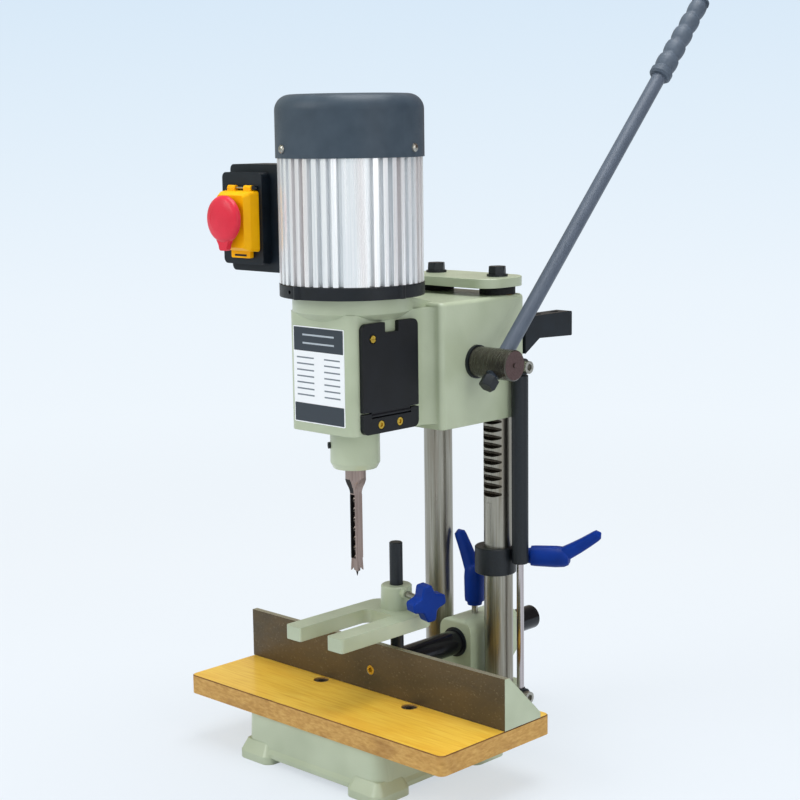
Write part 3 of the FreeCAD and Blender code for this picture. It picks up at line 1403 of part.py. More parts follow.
save("rotor_core", make_rotor_core())
save("cooling_fan", make_fan())
save("drill_chuck", make_chuck())
save("chuck_jaws", *make_jaws())
save("auger_bit", make_auger())
save("feed_gear", make_gear())
save("feed_shaft", make_feed_shaft())
save("lever_rod", make_lever_rod())
save("lever_grip", make_grip())
save("lever_nut", make_lever_nut())
save("chuck_cover", make_cover())
save("cover_latch", make_latch())
save("chisel_lock_screw", make_lock_screw())
save("switch_flap", make_flap())
save("stop_paddle", make_mushroom())
save("start_button", make_button(start_z))
save("stop_button", make_button(stem_z))
save("fence", make_fence())
save("fence_bar", make_fence_bar())
save("fence_screw", make_fence_screw())
save("hold_down_post", make_post())
save("fence_clamp_lever", make_fence_lever())
save("hold_down_fork", make_fork())
save("hold_down_knob", make_knob())
save("stop_collar", make_stop())
save("stop_clamp_lever", make_stop_lever())
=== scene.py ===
import json
import math

import bmesh
import bpy
from mathutils import Matrix, Vector


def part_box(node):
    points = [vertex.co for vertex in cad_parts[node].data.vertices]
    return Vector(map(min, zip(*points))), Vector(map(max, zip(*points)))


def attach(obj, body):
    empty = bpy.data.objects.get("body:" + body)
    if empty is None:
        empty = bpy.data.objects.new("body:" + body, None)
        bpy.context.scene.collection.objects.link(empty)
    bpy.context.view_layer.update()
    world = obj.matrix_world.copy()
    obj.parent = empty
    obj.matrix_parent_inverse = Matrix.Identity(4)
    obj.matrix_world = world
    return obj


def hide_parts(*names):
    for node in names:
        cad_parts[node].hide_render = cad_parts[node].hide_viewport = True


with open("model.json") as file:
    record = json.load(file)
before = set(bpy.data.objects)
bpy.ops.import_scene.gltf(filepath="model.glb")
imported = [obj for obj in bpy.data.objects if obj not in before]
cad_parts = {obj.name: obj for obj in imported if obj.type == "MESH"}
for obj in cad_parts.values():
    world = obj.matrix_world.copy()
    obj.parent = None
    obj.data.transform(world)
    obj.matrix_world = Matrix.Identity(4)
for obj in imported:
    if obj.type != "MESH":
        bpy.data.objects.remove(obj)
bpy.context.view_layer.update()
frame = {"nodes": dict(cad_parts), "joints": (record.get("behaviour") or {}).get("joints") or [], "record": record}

# The photograph's camera, from a fit to the machine's own edges
CAMERA_PLACE = (1.0885, -1.0814, 0.5866)
CAMERA_AZIMUTH = 44.0391
CAMERA_ELEVATION = 9.1999
CAMERA_ROLL = -0.7661
FOCAL_PIXELS = 1706.63
IMAGE_PIXELS = 800.0
SENSOR_MM = 36.0

MM = 0.001


def linear(code):
    """A hex sRGB colour as linear RGBA."""
    values = []
    for k in (1, 3, 5):
        c = int(code[k:k + 2], 16) / 255.0
        values.append(c / 12.92 if c <= 0.04045 else ((c + 0.055) / 1.055) ** 2.4)
    return (*values, 1.0)


def add(tree, kind, inputs=None, **settings):
    """Adds one node with its settings, its socket values and its links."""
    node = tree.nodes.new(kind)
    for key, value in settings.items():
        setattr(node, key, value)
    for key, value in (inputs or {}).items():
        if isinstance(value, bpy.types.NodeSocket):
            tree.links.new(value, node.inputs[key])
        else:
            node.inputs[key].default_value = value
    return node


def ramp(tree, factor, stops):
    """A colour ramp from (place, hex colour or grey level) stops."""
    node = add(tree, "ShaderNodeValToRGB", {"Fac": factor})
    elements = node.color_ramp.elements
    while len(elements) < len(stops):
        elements.new(0.5)
    for element, (where, colour) in zip(elements, stops):
        element.position = where
        element.color = linear(colour) if isinstance(colour, str) else (colour, colour, colour, 1.0)
    return node.outputs["Color"]


# Materials
class Finish:
    """A node material with one principled shader, to which patterns are added."""

    def __init__(self, name, colour, metallic=0.0, roughness=0.5, **sockets):
        self.material = bpy.data.materials.new(name)
        self.material.use_nodes = True
        self.tree = self.material.node_tree
        self.shader = self.tree.nodes["Principled BSDF"]
        self.set("Base Color", linear(colour))
        self.set("Metallic", metallic)
        self.set("Roughness", roughness)
        for label, value in sockets.items():
            self.set(label.replace("_", " "), value)
        self.place = add(self.tree, "ShaderNodeTexCoord").outputs["Object"]

    def set(self, label, value):
        if isinstance(value, bpy.types.NodeSocket):
            self.tree.links.new(value, self.shader.inputs[label])
        else:
            self.shader.inputs[label].default_value = value

    def noise(self, grain_mm, detail=3.0, stretch=(1, 1, 1), distortion=0.0):
        """Noise whose largest grains are grain_mm across, drawn out along the axes by stretch."""
        scale = tuple(1.0 / s for s in stretch)
        mapped = add(self.tree, "ShaderNodeMapping", {"Vector": self.place, "Scale": scale})
        grain = add(self.tree, "ShaderNodeTexNoise", {"Vector": mapped.outputs[0], "Scale": 1000.0 / grain_mm,
                                                      "Detail": detail, "Distortion": distortion})
        return grain.outputs["Fac"]

    def colours(self, factor, *stops):
        self.set("Base Color", ramp(self.tree, factor, stops))

    def sheen(self, factor, *stops):
        self.set("Roughness", ramp(self.tree, factor, stops))

    def bump(self, height, depth_mm, under=None):
        inputs = {"Height": height, "Distance": depth_mm * MM, "Strength": 1.0}
        if under is not None:
            inputs["Normal"] = under
        self.set("Normal", add(self.tree, "ShaderNodeBump", inputs).outputs[0])

    def soft_edges(self, radius_mm):
        """The normal of edges rounded by that radius."""
        return add(self.tree, "ShaderNodeBevel", {"Radius": radius_mm * MM}, samples=6).outputs[0]

    def blend(self, factor, first, second):
        mix = add(self.tree, "ShaderNodeMix", {"Factor": factor}, data_type="RGBA")
        for socket, value in ((mix.inputs[6], first), (mix.inputs[7], second)):
            if isinstance(value, bpy.types.NodeSocket):
                self.tree.links.new(value, socket)
            else:
                socket.default_value = linear(value)
        return mix.outputs[2]


def enamel(name, light, dark, roughness=0.34):
    """Gloss enamel on a sand casting: the colour drifts slowly, and the sand's grain shows faintly."""
    f = Finish(name, light, roughness=roughness, Coat_Weight=0.3, Coat_Roughness=0.2)
    f.colours(f.noise(55.0, detail=2.0), (0.35, dark), (0.65, light))
    grain = f.noise(2.4, detail=4.0)
    f.sheen(grain, (0.3, roughness - 0.06), (0.7, roughness + 0.08))
    f.bump(grain, 0.10, f.soft_edges(1.0))
    return f.material


def steel(name, light, dark, roughness, stretch=(1, 1, 1), metallic=1.0, depth=0.008, grain_mm=1.2):
    """Ground or turned steel with fine scratches, drawn out by stretch along the way it was cut."""
    f = Finish(name, light, metallic=metallic, roughness=roughness)
    scratch = f.noise(grain_mm, detail=5.0, stretch=stretch)
    f.colours(scratch, (0.3, dark), (0.65, light))
    f.sheen(scratch, (0.3, roughness + 0.08), (0.7, roughness - 0.04))
    f.bump(scratch, depth)
    return f.material


def oiled_column():
    """Ground round bar under old oil: long scratches, with brown streaks that run down it as a painted reflection.
    """
    f = Finish("oiled_column", "#98958B", metallic=1.0, roughness=0.32)
    scratch = f.noise(1.0, detail=5.0, stretch=(1, 1, 70))
    # brown streaks along the bar: a painted reflection of dark brown surroundings, not a real stain
    brown_reflection_streak = f.noise(9.0, detail=5.0, stretch=(1, 1, 12), distortion=0.2)
    bright = ramp(f.tree, scratch, [(0.3, "#8B887C"), (0.65, "#A5A298")])
    reflection_share = ramp(f.tree, brown_reflection_streak, [(0.5, 0.0), (0.78, 0.5)])
    f.set("Base Color", f.blend(reflection_share, bright, "#6E5B47"))
    f.sheen(scratch, (0.3, 0.38), (0.7, 0.27))
    f.bump(scratch, 0.004)
    return f.material


def plastic(name, light, dark, roughness=0.4, grain_mm=0.8, depth=0.02, rounded=0.4, specular=0.3):
    """Injection-moulded plastic: an even colour with the faint spark-eroded grain of its mould."""
    f = Finish(name, light, roughness=roughness, Specular_IOR_Level=specular)
    f.colours(f.noise(18.0, detail=2.0), (0.3, dark), (0.7, light))
    grain = f.noise(grain_mm, detail=2.0)
    f.sheen(grain, (0.3, roughness - 0.05), (0.7, roughness + 0.07))
    f.bump(grain, depth, f.soft_edges(rounded))
    return f.material


def browned_iron():
    """Iron plate, oiled and browned: rust-brown clouds over dark grey, with rubbed bright specks."""
    f = Finish("browned_iron", "#5C4C34", metallic=0.35, roughness=0.42)
    cloud = f.noise(50.0, detail=7.0, stretch=(1.8, 1, 1), distortion=0.7)
    tone = ramp(f.tree, cloud, [(0.25, "#433B2C"), (0.45, "#504530"), (0.6, "#5A4B31"), (0.8, "#4C4535")])
    fleck = ramp(f.tree, f.noise(1.8, detail=9.0, stretch=(1.6, 1, 1)), [(0.6, 0.0), (0.78, 0.4)])
    f.set("Base Color", f.blend(fleck, tone, "#9A9078"))
    speck = f.noise(3.0, detail=6.0)
    f.sheen(speck, (0.35, 0.52), (0.7, 0.32))
    f.bump(speck, 0.05)
    return f.material


def board_face():
    """Board faced with yellow pine under gloss lacquer: fine grain lines run along the board."""
    f = Finish("lacquered_board", "#E9BC50", roughness=0.3, Coat_Weight=0.4, Coat_Roughness=0.1)
    line = f.noise(2.2, detail=7.0, stretch=(16, 1, 1), distortion=0.3)
    cloud = f.noise(60.0, detail=4.0, stretch=(2.0, 1, 1))
    grain = ramp(f.tree, line, [(0.3, "#DFAA30"), (0.5, "#EBBE42"), (0.68, "#F1C952")])
    warm = ramp(f.tree, cloud, [(0.45, 0.0), (0.72, 0.5)])
    f.set("Base Color", f.blend(warm, grain, "#E6A72C"))
    f.bump(line, 0.02)
    return f.material


def board_edge():
    """Sawn edge of the board: tan fibres with dark knots and scorched strips, and no lacquer."""
    f = Finish("sawn_edge", "#BE9450", roughness=0.72)
    fibre = f.noise(2.0, detail=9.0, stretch=(3.0, 3.0, 1), distortion=0.2)
    knot = f.noise(26.0, detail=7.0, stretch=(2.0, 2.0, 1), distortion=0.5)
    tone = ramp(f.tree, fibre, [(0.28, "#AC803F"), (0.48, "#BC914C"), (0.72, "#CBA35E")])
    dark = ramp(f.tree, knot, [(0.56, 0.0), (0.75, 0.6)])
    f.set("Base Color", f.blend(dark, tone, "#85592A"))
    f.bump(fibre, 0.12)
    return f.material


def extruded_aluminium():
    """Die-drawn aluminium: bright, with long draw lines down the ribs and warm patches here and there as a painted
    reflection.
    """
    f = Finish("ribbed_aluminium", "#F4F6F8", metallic=0.45, roughness=0.3)
    draw = f.noise(2.0, detail=4.0, stretch=(1, 1, 90))
    # warm pinkish patches on the ribs: a painted reflection, not the metal's own colour
    reflection_cloud = f.noise(16.0, detail=2.0, stretch=(1, 1, 40))
    bright = ramp(f.tree, draw, [(0.3, "#DDE2E6"), (0.7, "#FAFBFC")])
    warm = ramp(f.tree, reflection_cloud, [(0.5, 0.0), (0.68, 0.5)])
    f.set("Base Color", f.blend(warm, bright, "#D8C8C4"))
    f.sheen(draw, (0.3, 0.36), (0.7, 0.24))
    f.bump(draw, 0.02)
    return f.material


def printed(name, colour, roughness=0.35):
    """Screen-printed ink on a thin metal label, with a faint orange peel."""
    f = Finish(name, colour, roughness=roughness)
    f.bump(f.noise(1.5, detail=2.0), 0.01)
    return f.material


DRAWN_Z = (1, 1, 60)
DRAWN_Y = (1, 60, 1)
TURNED_X = (1, 8, 8)

MATERIALS = {
    "green_enamel": enamel("green_enamel", "#B2BDA3", "#A5B095"),
    "browned_iron": browned_iron(),
    "worn_edge": steel("worn_edge", "#B9B59F", "#8F8A74", 0.38, metallic=0.7),
    "lacquered_board": board_face(),
    "sawn_edge": board_edge(),
    "scorched_edge": plastic("scorched_edge", "#7A5228", "#5E3E1E", 0.6),
    "ground_steel": steel("ground_steel", "#CFCBC0", "#A8A498", 0.22, DRAWN_Z),
    # darker steel used as painted shade in the rack's gullets
    "rack_gullet_shade": steel("rack_gullet_shade", "#4E473D", "#342F29", 0.42, metallic=0.8),
    "oiled_column": oiled_column(),
    "black_steel": steel("black_steel", "#151D25", "#0F151B", 0.42, metallic=0.2, depth=0.004),
    "lever_steel": plastic("lever_steel", "#56606E", "#505A68", 0.4, 1.2, 0.004),
    "black_bar": steel("black_bar", "#26282D", "#1D1F23", 0.16, DRAWN_Y, metallic=0.6, depth=0.003),
    "black_rubber": plastic("black_rubber", "#1B1C1E", "#141516", 0.7),
    "chromed_rod": steel("chromed_rod", "#BFB9BA", "#A49C9E", 0.14, DRAWN_Z, depth=0.003),
    "bronze": steel("bronze", "#B08D52", "#94743E", 0.35),
    "slate_casting": plastic("slate_casting", "#141A21", "#0E1318", 0.42, 1.6, 0.05, 0.8),
    "ribbed_aluminium": extruded_aluminium(),
    "slate_cowl": plastic("slate_cowl", "#3F4C58", "#36434F", 0.44, 1.4, 0.01, 0.4, 0.28),
    "bright_screw": steel("bright_screw", "#B4B2AA", "#8F8D86", 0.28),
    "dulled_screw": steel("dulled_screw", "#6E665C", "#4C463F", 0.4, metallic=0.8),
    "black_plastic": plastic("black_plastic", "#0D1118", "#080B10", 0.4),
    "case_plastic": plastic("case_plastic", "#111C26", "#0B141C", 0.4, depth=0.012),
    "chisel_steel": steel("chisel_steel", "#A08F88", "#86756E", 0.3, DRAWN_Z, metallic=0.8, depth=0.003),
    # near-black steel used as painted shade in the chisel's bore and the auger's flutes
    "chisel_bore_shade": steel("chisel_bore_shade", "#141313", "#0D0C0C", 0.6, metallic=0.2),
    "flute_steel": steel("flute_steel", "#A69A93", "#82766F", 0.3, metallic=0.8, depth=0.003),
    "brass": steel("brass", "#D2B04C", "#A88A36", 0.25),
    "browned_hub": steel("browned_hub", "#56544E", "#454239", 0.26, TURNED_X, metallic=0.7, depth=0.003),
    "hub_end": steel("hub_end", "#5F4A49", "#4B3A39", 0.34, metallic=0.6),
    "grip_plastic": plastic("grip_plastic", "#54606E", "#4A5562", 0.45),
    "yellow_plastic": plastic("yellow_plastic", "#FBBA00", "#F4AF00", 0.36, specular=0.15),
    "red_plastic": plastic("red_plastic", "#DC2E44", "#D1263C", 0.32),
    "green_plastic": plastic("green_plastic", "#2E8B4A", "#277B41", 0.35),
    "blue_plastic": plastic("blue_plastic", "#03318A", "#022B7C", 0.4, specular=0.14),
    "label_white": printed("label_white", "#EEF2F5"),
    "label_slate": printed("label_slate", "#27313B"),
    "label_rule": printed("label_rule", "#6F7A83"),
    "label_grey": printed("label_grey", "#AEB8C0"),
}

slot_of = {entry["node"]: entry["material_slot"] for entry in frame["record"]["subparts"]}
special = {"lever_rod": "lever_steel", "lever_nut": "black_steel", "fence_bar": "black_bar",
           "left_column": "oiled_column", "rack_column": "oiled_column", "table_screws": "dulled_screw",
           "auger_bit": "flute_steel", "switch_case": "case_plastic", "switch_frame": "case_plastic",
           "tool_holder": "case_plastic"}
for node_name, node in frame["nodes"].items():
    node.data.materials.clear()
    node.data.materials.append(MATERIALS[special.get(node_name, slot_of[node_name])])


def paint(node_name, finish, chosen):
    """Gives another finish to the faces of a node for which chosen(centre, normal) holds."""
    mesh = frame["nodes"][node_name].data
    mesh.materials.append(MATERIALS[finish])
    index = len(mesh.materials) - 1
    for face in mesh.polygons:
        if chosen(face.center, face.normal):
            face.material_index = index


def on_stud(start, direction, radius, length):
    """A test for faces whose centres lie within radius of a line and nearer than length along it."""
    axis = Vector(direction).normalized()
    start = Vector(start)
    return lambda c, n: (c - start).cross(axis).length < radius and abs((c - start).dot(axis)) < length


def paint_pieces():
    """Finishes of single faces: sawn edges, the fence's green back, the lever hub's end, and painted shade in the
    auger's flutes and the rack's gullets.
    """
    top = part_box("wood_table")[1].z
    paint("wood_table", "sawn_edge", lambda c, n: abs(n.z) < 0.3)
    paint("wood_table", "scorched_edge", lambda c, n: 0.3 <= n.z < 0.95 and c.z > top - 2 * MM)
    fence_lo, fence_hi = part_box("fence")
    front = fence_lo.y
    paint("fence", "green_enamel", lambda c, n: c.y > front + 0.5 * MM)
    paint("fence", "worn_edge", lambda c, n: n.z > 0.9 and c.z > fence_hi.z - 1 * MM)
    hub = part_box("feed_shaft")[1].x
    paint("feed_shaft", "hub_end", lambda c, n: n.x > 0.9 and c.x > hub - 3 * MM)
    # faces deep in the auger's flutes, near its axis, get the dark painted shade
    paint("auger_bit", "chisel_bore_shade",
          lambda c, n: math.hypot(c.x, c.y - SPINDLE_Y * MM) < FLUTE_SHADE_RADIUS * MM and n.z < 0.15)
    column_lo, column_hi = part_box("rack_column")
    middle = (column_lo.y + column_hi.y) / 2
    # the rack's tooth flanks and roots get painted shade, darker between the teeth
    paint("rack_column", "rack_gullet_shade", lambda c, n: c.y < middle and RACK_LOW < c.z / MM < RACK_HIGH
          and (abs(n.z) > 0.15 or (n.y < -0.98 and c.y > column_lo.y + RACK_ROOT_DEPTH * MM)))
    along = joints["hold_knob_turn"]["axis"]
    paint("hold_down_knob", "bright_screw",
          on_stud(KNOB_POST, along, KNOB_STUD_RADIUS * MM, KNOB_STUD_REACH * MM))


KNOB_POST = (0.0, 0.036, 0.153)
SPINDLE_Y = -15.2
RACK_LOW = 226.5
RACK_HIGH = 398.5
RACK_ROOT_DEPTH = 5.0
FLUTE_SHADE_RADIUS = 2.2
KNOB_STUD_RADIUS = 3.4
KNOB_STUD_REACH = 40.0
joints = {joint["name"]: joint for joint in frame["joints"]}
paint_pieces()


# Pieces made here
def plate(name, low, high, finish, body, corner=0.0):
    """A flat plate between two corners in millimetres, thin along Y, with rounded corners."""
    x0, y0, z0 = low
    x1, y1, z1 = high
    outline = []
    steps = 6 if corner else 0
    for cx, cz, start in ((x1 - corner, z1 - corner, 0), (x0 + corner, z1 - corner, 90),
                          (x0 + corner, z0 + corner, 180), (x1 - corner, z0 + corner, 270)):
        for k in range(steps + 1):
            a = math.radians(start + 90.0 * k / max(steps, 1))
            outline.append((cx + corner * math.cos(a), cz + corner * math.sin(a)))
    count = len(outline)
    points = [(x * MM, y * MM, z * MM) for y in (y0, y1) for x, z in outline]
    faces = [tuple(range(count)), tuple(range(2 * count - 1, count - 1, -1))]
    faces += [(i, i + count, (i + 1) % count + count, (i + 1) % count) for i in range(count)]
    mesh = bpy.data.meshes.new(name)
    mesh.from_pydata(points, [], faces)
    shell = bmesh.new()
    shell.from_mesh(mesh)
    bmesh.ops.recalc_face_normals(shell, faces=shell.faces)
    shell.to_mesh(mesh)
    shell.free()
    return piece(name, mesh, finish, body)


def piece(name, mesh, finish, body):
    mesh.materials.clear()
    mesh.materials.append(MATERIALS[finish])
    obj = bpy.data.objects.new(name, mesh)
    bpy.context.collection.objects.link(obj)
    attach(obj, body)
    return obj


def skin(shell, rings):
    """A closed skin through rings of points, each with the same count."""
    loops = [[shell.verts.new(point) for point in ring] for ring in rings]
    count = len(loops[0])
    for low, high in zip(loops, loops[1:]):
        for i in range(count):
            j = (i + 1) % count
            shell.faces.new((low[i], low[j], high[j], high[i]))
    shell.faces.new(loops[0][::-1])
    shell.faces.new(loops[-1])


def lathe(shell, profile, where, segments=48):
    """Turns (radius, height) pairs in millimetres about the Z axis of the matrix where."""
    rings = []
    for radius, height in profile:
        ring = []
        for k in range(segments):
            a = 2 * math.pi * k / segments
            ring.append(where @ Vector((radius * math.cos(a) * MM, radius * math.sin(a) * MM, height * MM)))
        rings.append(ring)
    skin(shell, rings)


def finished(shell, name, finish, body, stands_for, smooth_angle=35.0):
    """Turns a bmesh into a piece that rides on a body and stands for some CAD nodes."""
    bmesh.ops.recalc_face_normals(shell, faces=shell.faces)
    for face in shell.faces:
        face.smooth = True
    for edge in shell.edges:
        if edge.calc_face_angle(0.0) > math.radians(smooth_angle):
            edge.smooth = False
    mesh = bpy.data.meshes.new(name)
    shell.to_mesh(mesh)
    shell.free()
    obj = piece(name, mesh, finish, body)
    if stands_for:
        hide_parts(*stands_for)
    return obj


def pointing(place, direction):
    """A matrix whose Z axis points in direction, at a place in millimetres."""
    turn = Vector(direction).to_track_quat("Z", "X").to_matrix().to_4x4()
    return Matrix.Translation(Vector(place) * MM) @ turn


# Hand lever: a bar with a thinner threaded tail, and a small nut on it
LEVER_ANGLE = 46.8
LEVER_RADIUS = 7.0
LEVER_TAIL = 24.0
LEVER_THREAD = 4.0
LEVER_THREAD_START = 12.5
LEVER_END = 453.0
NUT_FLAT = 14.0
NUT_LOW = -27.0
NUT_HIGH = -16.5


def make_lever():
    """The bar turned down to a thread behind the hub, and its nut, both along the lever's own axis."""
    rod_lo, rod_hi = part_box("lever_rod")
    turn = joints["lever_turn"]["pos_m"]
    a = math.radians(LEVER_ANGLE)
    where = pointing((rod_lo.x / MM + LEVER_RADIUS, turn[1] / MM, turn[2] / MM), (0, math.cos(a), math.sin(a)))
    shell = bmesh.new()
    r = LEVER_RADIUS
    lathe(shell, [(LEVER_THREAD - 0.6, -LEVER_TAIL), (LEVER_THREAD, -LEVER_TAIL + 0.6),
                  (LEVER_THREAD, -LEVER_THREAD_START), (r, -LEVER_THREAD_START), (r, LEVER_END)], where)
    finished(shell, "lever_bar", "lever_steel", "feed", ["lever_rod"])
    shell = bmesh.new()
    across = NUT_FLAT / math.sqrt(3.0)
    lathe(shell, [(across * 0.86, NUT_LOW), (across, NUT_LOW + 1.4), (across, NUT_HIGH)], where, 6)
    finished(shell, "lever_end_nut", "black_steel", "feed", ["lever_nut"])


# Clamp levers: stud, stepped hub, and a thick arm that leans away and bends a little
CLAMP_RADIUS = 10.0
CLAMP_LENGTH = 36.0
CLAMP_STUD = 3.0
ARM_STEPS = 16
ARM_SIDES = 24
ARM_ROOT_HALF_WIDTH = 8.2
ARM_WIDTH_TAPER = 3.0
ARM_ROOT_HALF_THICK = 7.4
ARM_THICK_TAPER = 2.5
ARM_SQUARENESS = 0.75
ARM_ROUND_FROM = 0.9
ARM_TIP_SHARE = 0.12


def make_clamp(name, where, stud_start, hub_start, reach, rise, body, node):
    """A clamp lever along the Z axis of the matrix where, with its arm leaning out along X."""
    r = CLAMP_RADIUS
    top = hub_start + CLAMP_LENGTH
    shell = bmesh.new()
    lathe(shell, [(r * 0.72, hub_start - 4), (r * 0.78, hub_start), (r * 0.96, hub_start), (r, hub_start + 4),
                  (r * 1.04, top - 12), (r * 0.98, top - 4), (r * 0.8, top), (r * 0.5, top + 1.6)], where)
    rings = []
    for k in range(ARM_STEPS + 1):
        t = k / ARM_STEPS
        x = 0.5 + (reach - 0.5) * (0.8 * t + 0.2 * t * t)
        z = top - 9.0 + rise * t
        past = max(0.0, (t - ARM_ROUND_FROM) / (1.0 - ARM_ROUND_FROM))
        end = max(math.sqrt(max(0.0, 1.0 - past ** 2)), ARM_TIP_SHARE)
        half_width = (ARM_ROOT_HALF_WIDTH - ARM_WIDTH_TAPER * t) * end
        half_thick = (ARM_ROOT_HALF_THICK - ARM_THICK_TAPER * t) * end
        slope = math.atan2(reach, rise)
        ring = []
        for i in range(ARM_SIDES):
            a = 2 * math.pi * i / ARM_SIDES
            c = math.copysign(abs(math.cos(a)) ** ARM_SQUARENESS, math.cos(a)) * half_thick
            w = math.copysign(abs(math.sin(a)) ** ARM_SQUARENESS, math.sin(a)) * half_width
            ring.append(where @ (Vector((x + c * math.cos(slope), w, z - c * math.sin(slope))) * MM))
        rings.append(ring)
    skin(shell, rings)
    finished(shell, name, "blue_plastic", body, [node])
    shell = bmesh.new()
    lathe(shell, [(CLAMP_STUD, stud_start), (CLAMP_STUD, hub_start - 2)], where, 24)
    finished(shell, name + "_stud", "bright_screw", body, [])


def make_clamps():
    half_turn = Matrix.Rotation(math.pi, 4, "Z")
    fence_place = Matrix.Translation(Vector((0.0, 0.147, 0.119)))
    make_clamp("fence_clamp_handle", fence_place @ half_turn, -23.7, 0.0, 21.0, 42.0, "fence_clamp",
               "fence_clamp_lever")
    stop_place = Matrix.Translation(Vector((0.039, 0.138, 0.174)))
    stop_turn = Matrix.Rotation(math.radians(32.0), 4, "Z") @ Matrix.Rotation(math.pi / 2, 4, "Y")
    make_clamp("stop_clamp_handle", stop_place @ stop_turn @ half_turn, 14.3, 32.0, 25.0, 40.0, "stop_clamp",
               "stop_clamp_lever")


# Stop paddle: a round pad with a narrow tail and a raised crescent
PADDLE_PLACE = (-93.5, -80.6, 504.0)
PADDLE_RADIUS = 21.0


def make_paddle():
    """The red pad, turned, with its tail, its crescent and the short stem behind it."""
    r = PADDLE_RADIUS
    x, y, z = PADDLE_PLACE
    outward = Matrix.Translation(Vector(PADDLE_PLACE) * MM) @ Matrix.Rotation(math.pi / 2, 4, "X")
    shell = bmesh.new()
    lathe(shell, [(r - 1.2, 0), (r, 1.2), (r, 4.0), (r - 1.0, 5.8), (r - 3.5, 7.3), (r * 0.5, 8.3), (1.0, 8.6)],
          outward, 64)
    tail = [(-8.5, -19.0), (-6.0, -23.0), (-5.0, -27.0), (-3.5, -28.3), (3.5, -28.3), (5.0, -27.0), (6.0, -23.0),
            (8.5, -19.0), (8.0, -10.0), (-8.0, -10.0)]
    skin(shell, [[Vector((x + u, y - depth, z + v)) * MM for u, v in tail] for depth in (0.0, 5.2)])
    bead = []
    for k in range(17):
        a = math.radians(105.0 + 150.0 * k / 16)
        size = 1.0 - abs(k - 8) / 9.5
        ring = []
        for i in range(8):
            b = 2 * math.pi * i / 8
            reach = 13.2 + 1.3 * size * math.cos(b)
            ring.append(outward @ (Vector((reach * math.cos(a), reach * math.sin(a),
                                           7.4 + 0.9 * size * math.sin(b))) * MM))
        bead.append(ring)
    skin(shell, bead)
    lathe(shell, [(5.0, -18.3), (5.0, 0.5)], outward @ Matrix.Translation(Vector((0, -0.013, 0))), 32)
    finished(shell, "stop_paddle_pad", "red_plastic", "paddle", ["stop_paddle"])


# Hollow chisel: round shank, milled throat, square tube open on its front left, and four cutting points
CHISEL_HALF = 4.0
CHISEL_BOTTOM = 182.0
CHISEL_SQUARE_TOP = 254.6
SHANK_RADIUS = 9.5
SHANK_BOTTOM = 266.7
SHANK_TOP = 320.0
CHISEL_WALL = 1.0
SLOT_TO = 2.3
TIP_HEIGHT = 12.0
TIP_SIDES = 32
NO_LIMIT = 99.0


def square_ring(half, z, count=64, round_radius=NO_LIMIT):
    """A square of that half width, cut off by a circle, as points about the spindle's axis."""
    ring = []
    for k in range(count):
        a = 2 * math.pi * (k + 0.5) / count
        reach = min(half / max(abs(math.cos(a)), abs(math.sin(a))), round_radius)
        ring.append(Vector((reach * math.cos(a), SPINDLE_Y + reach * math.sin(a), z)) * MM)
    return ring


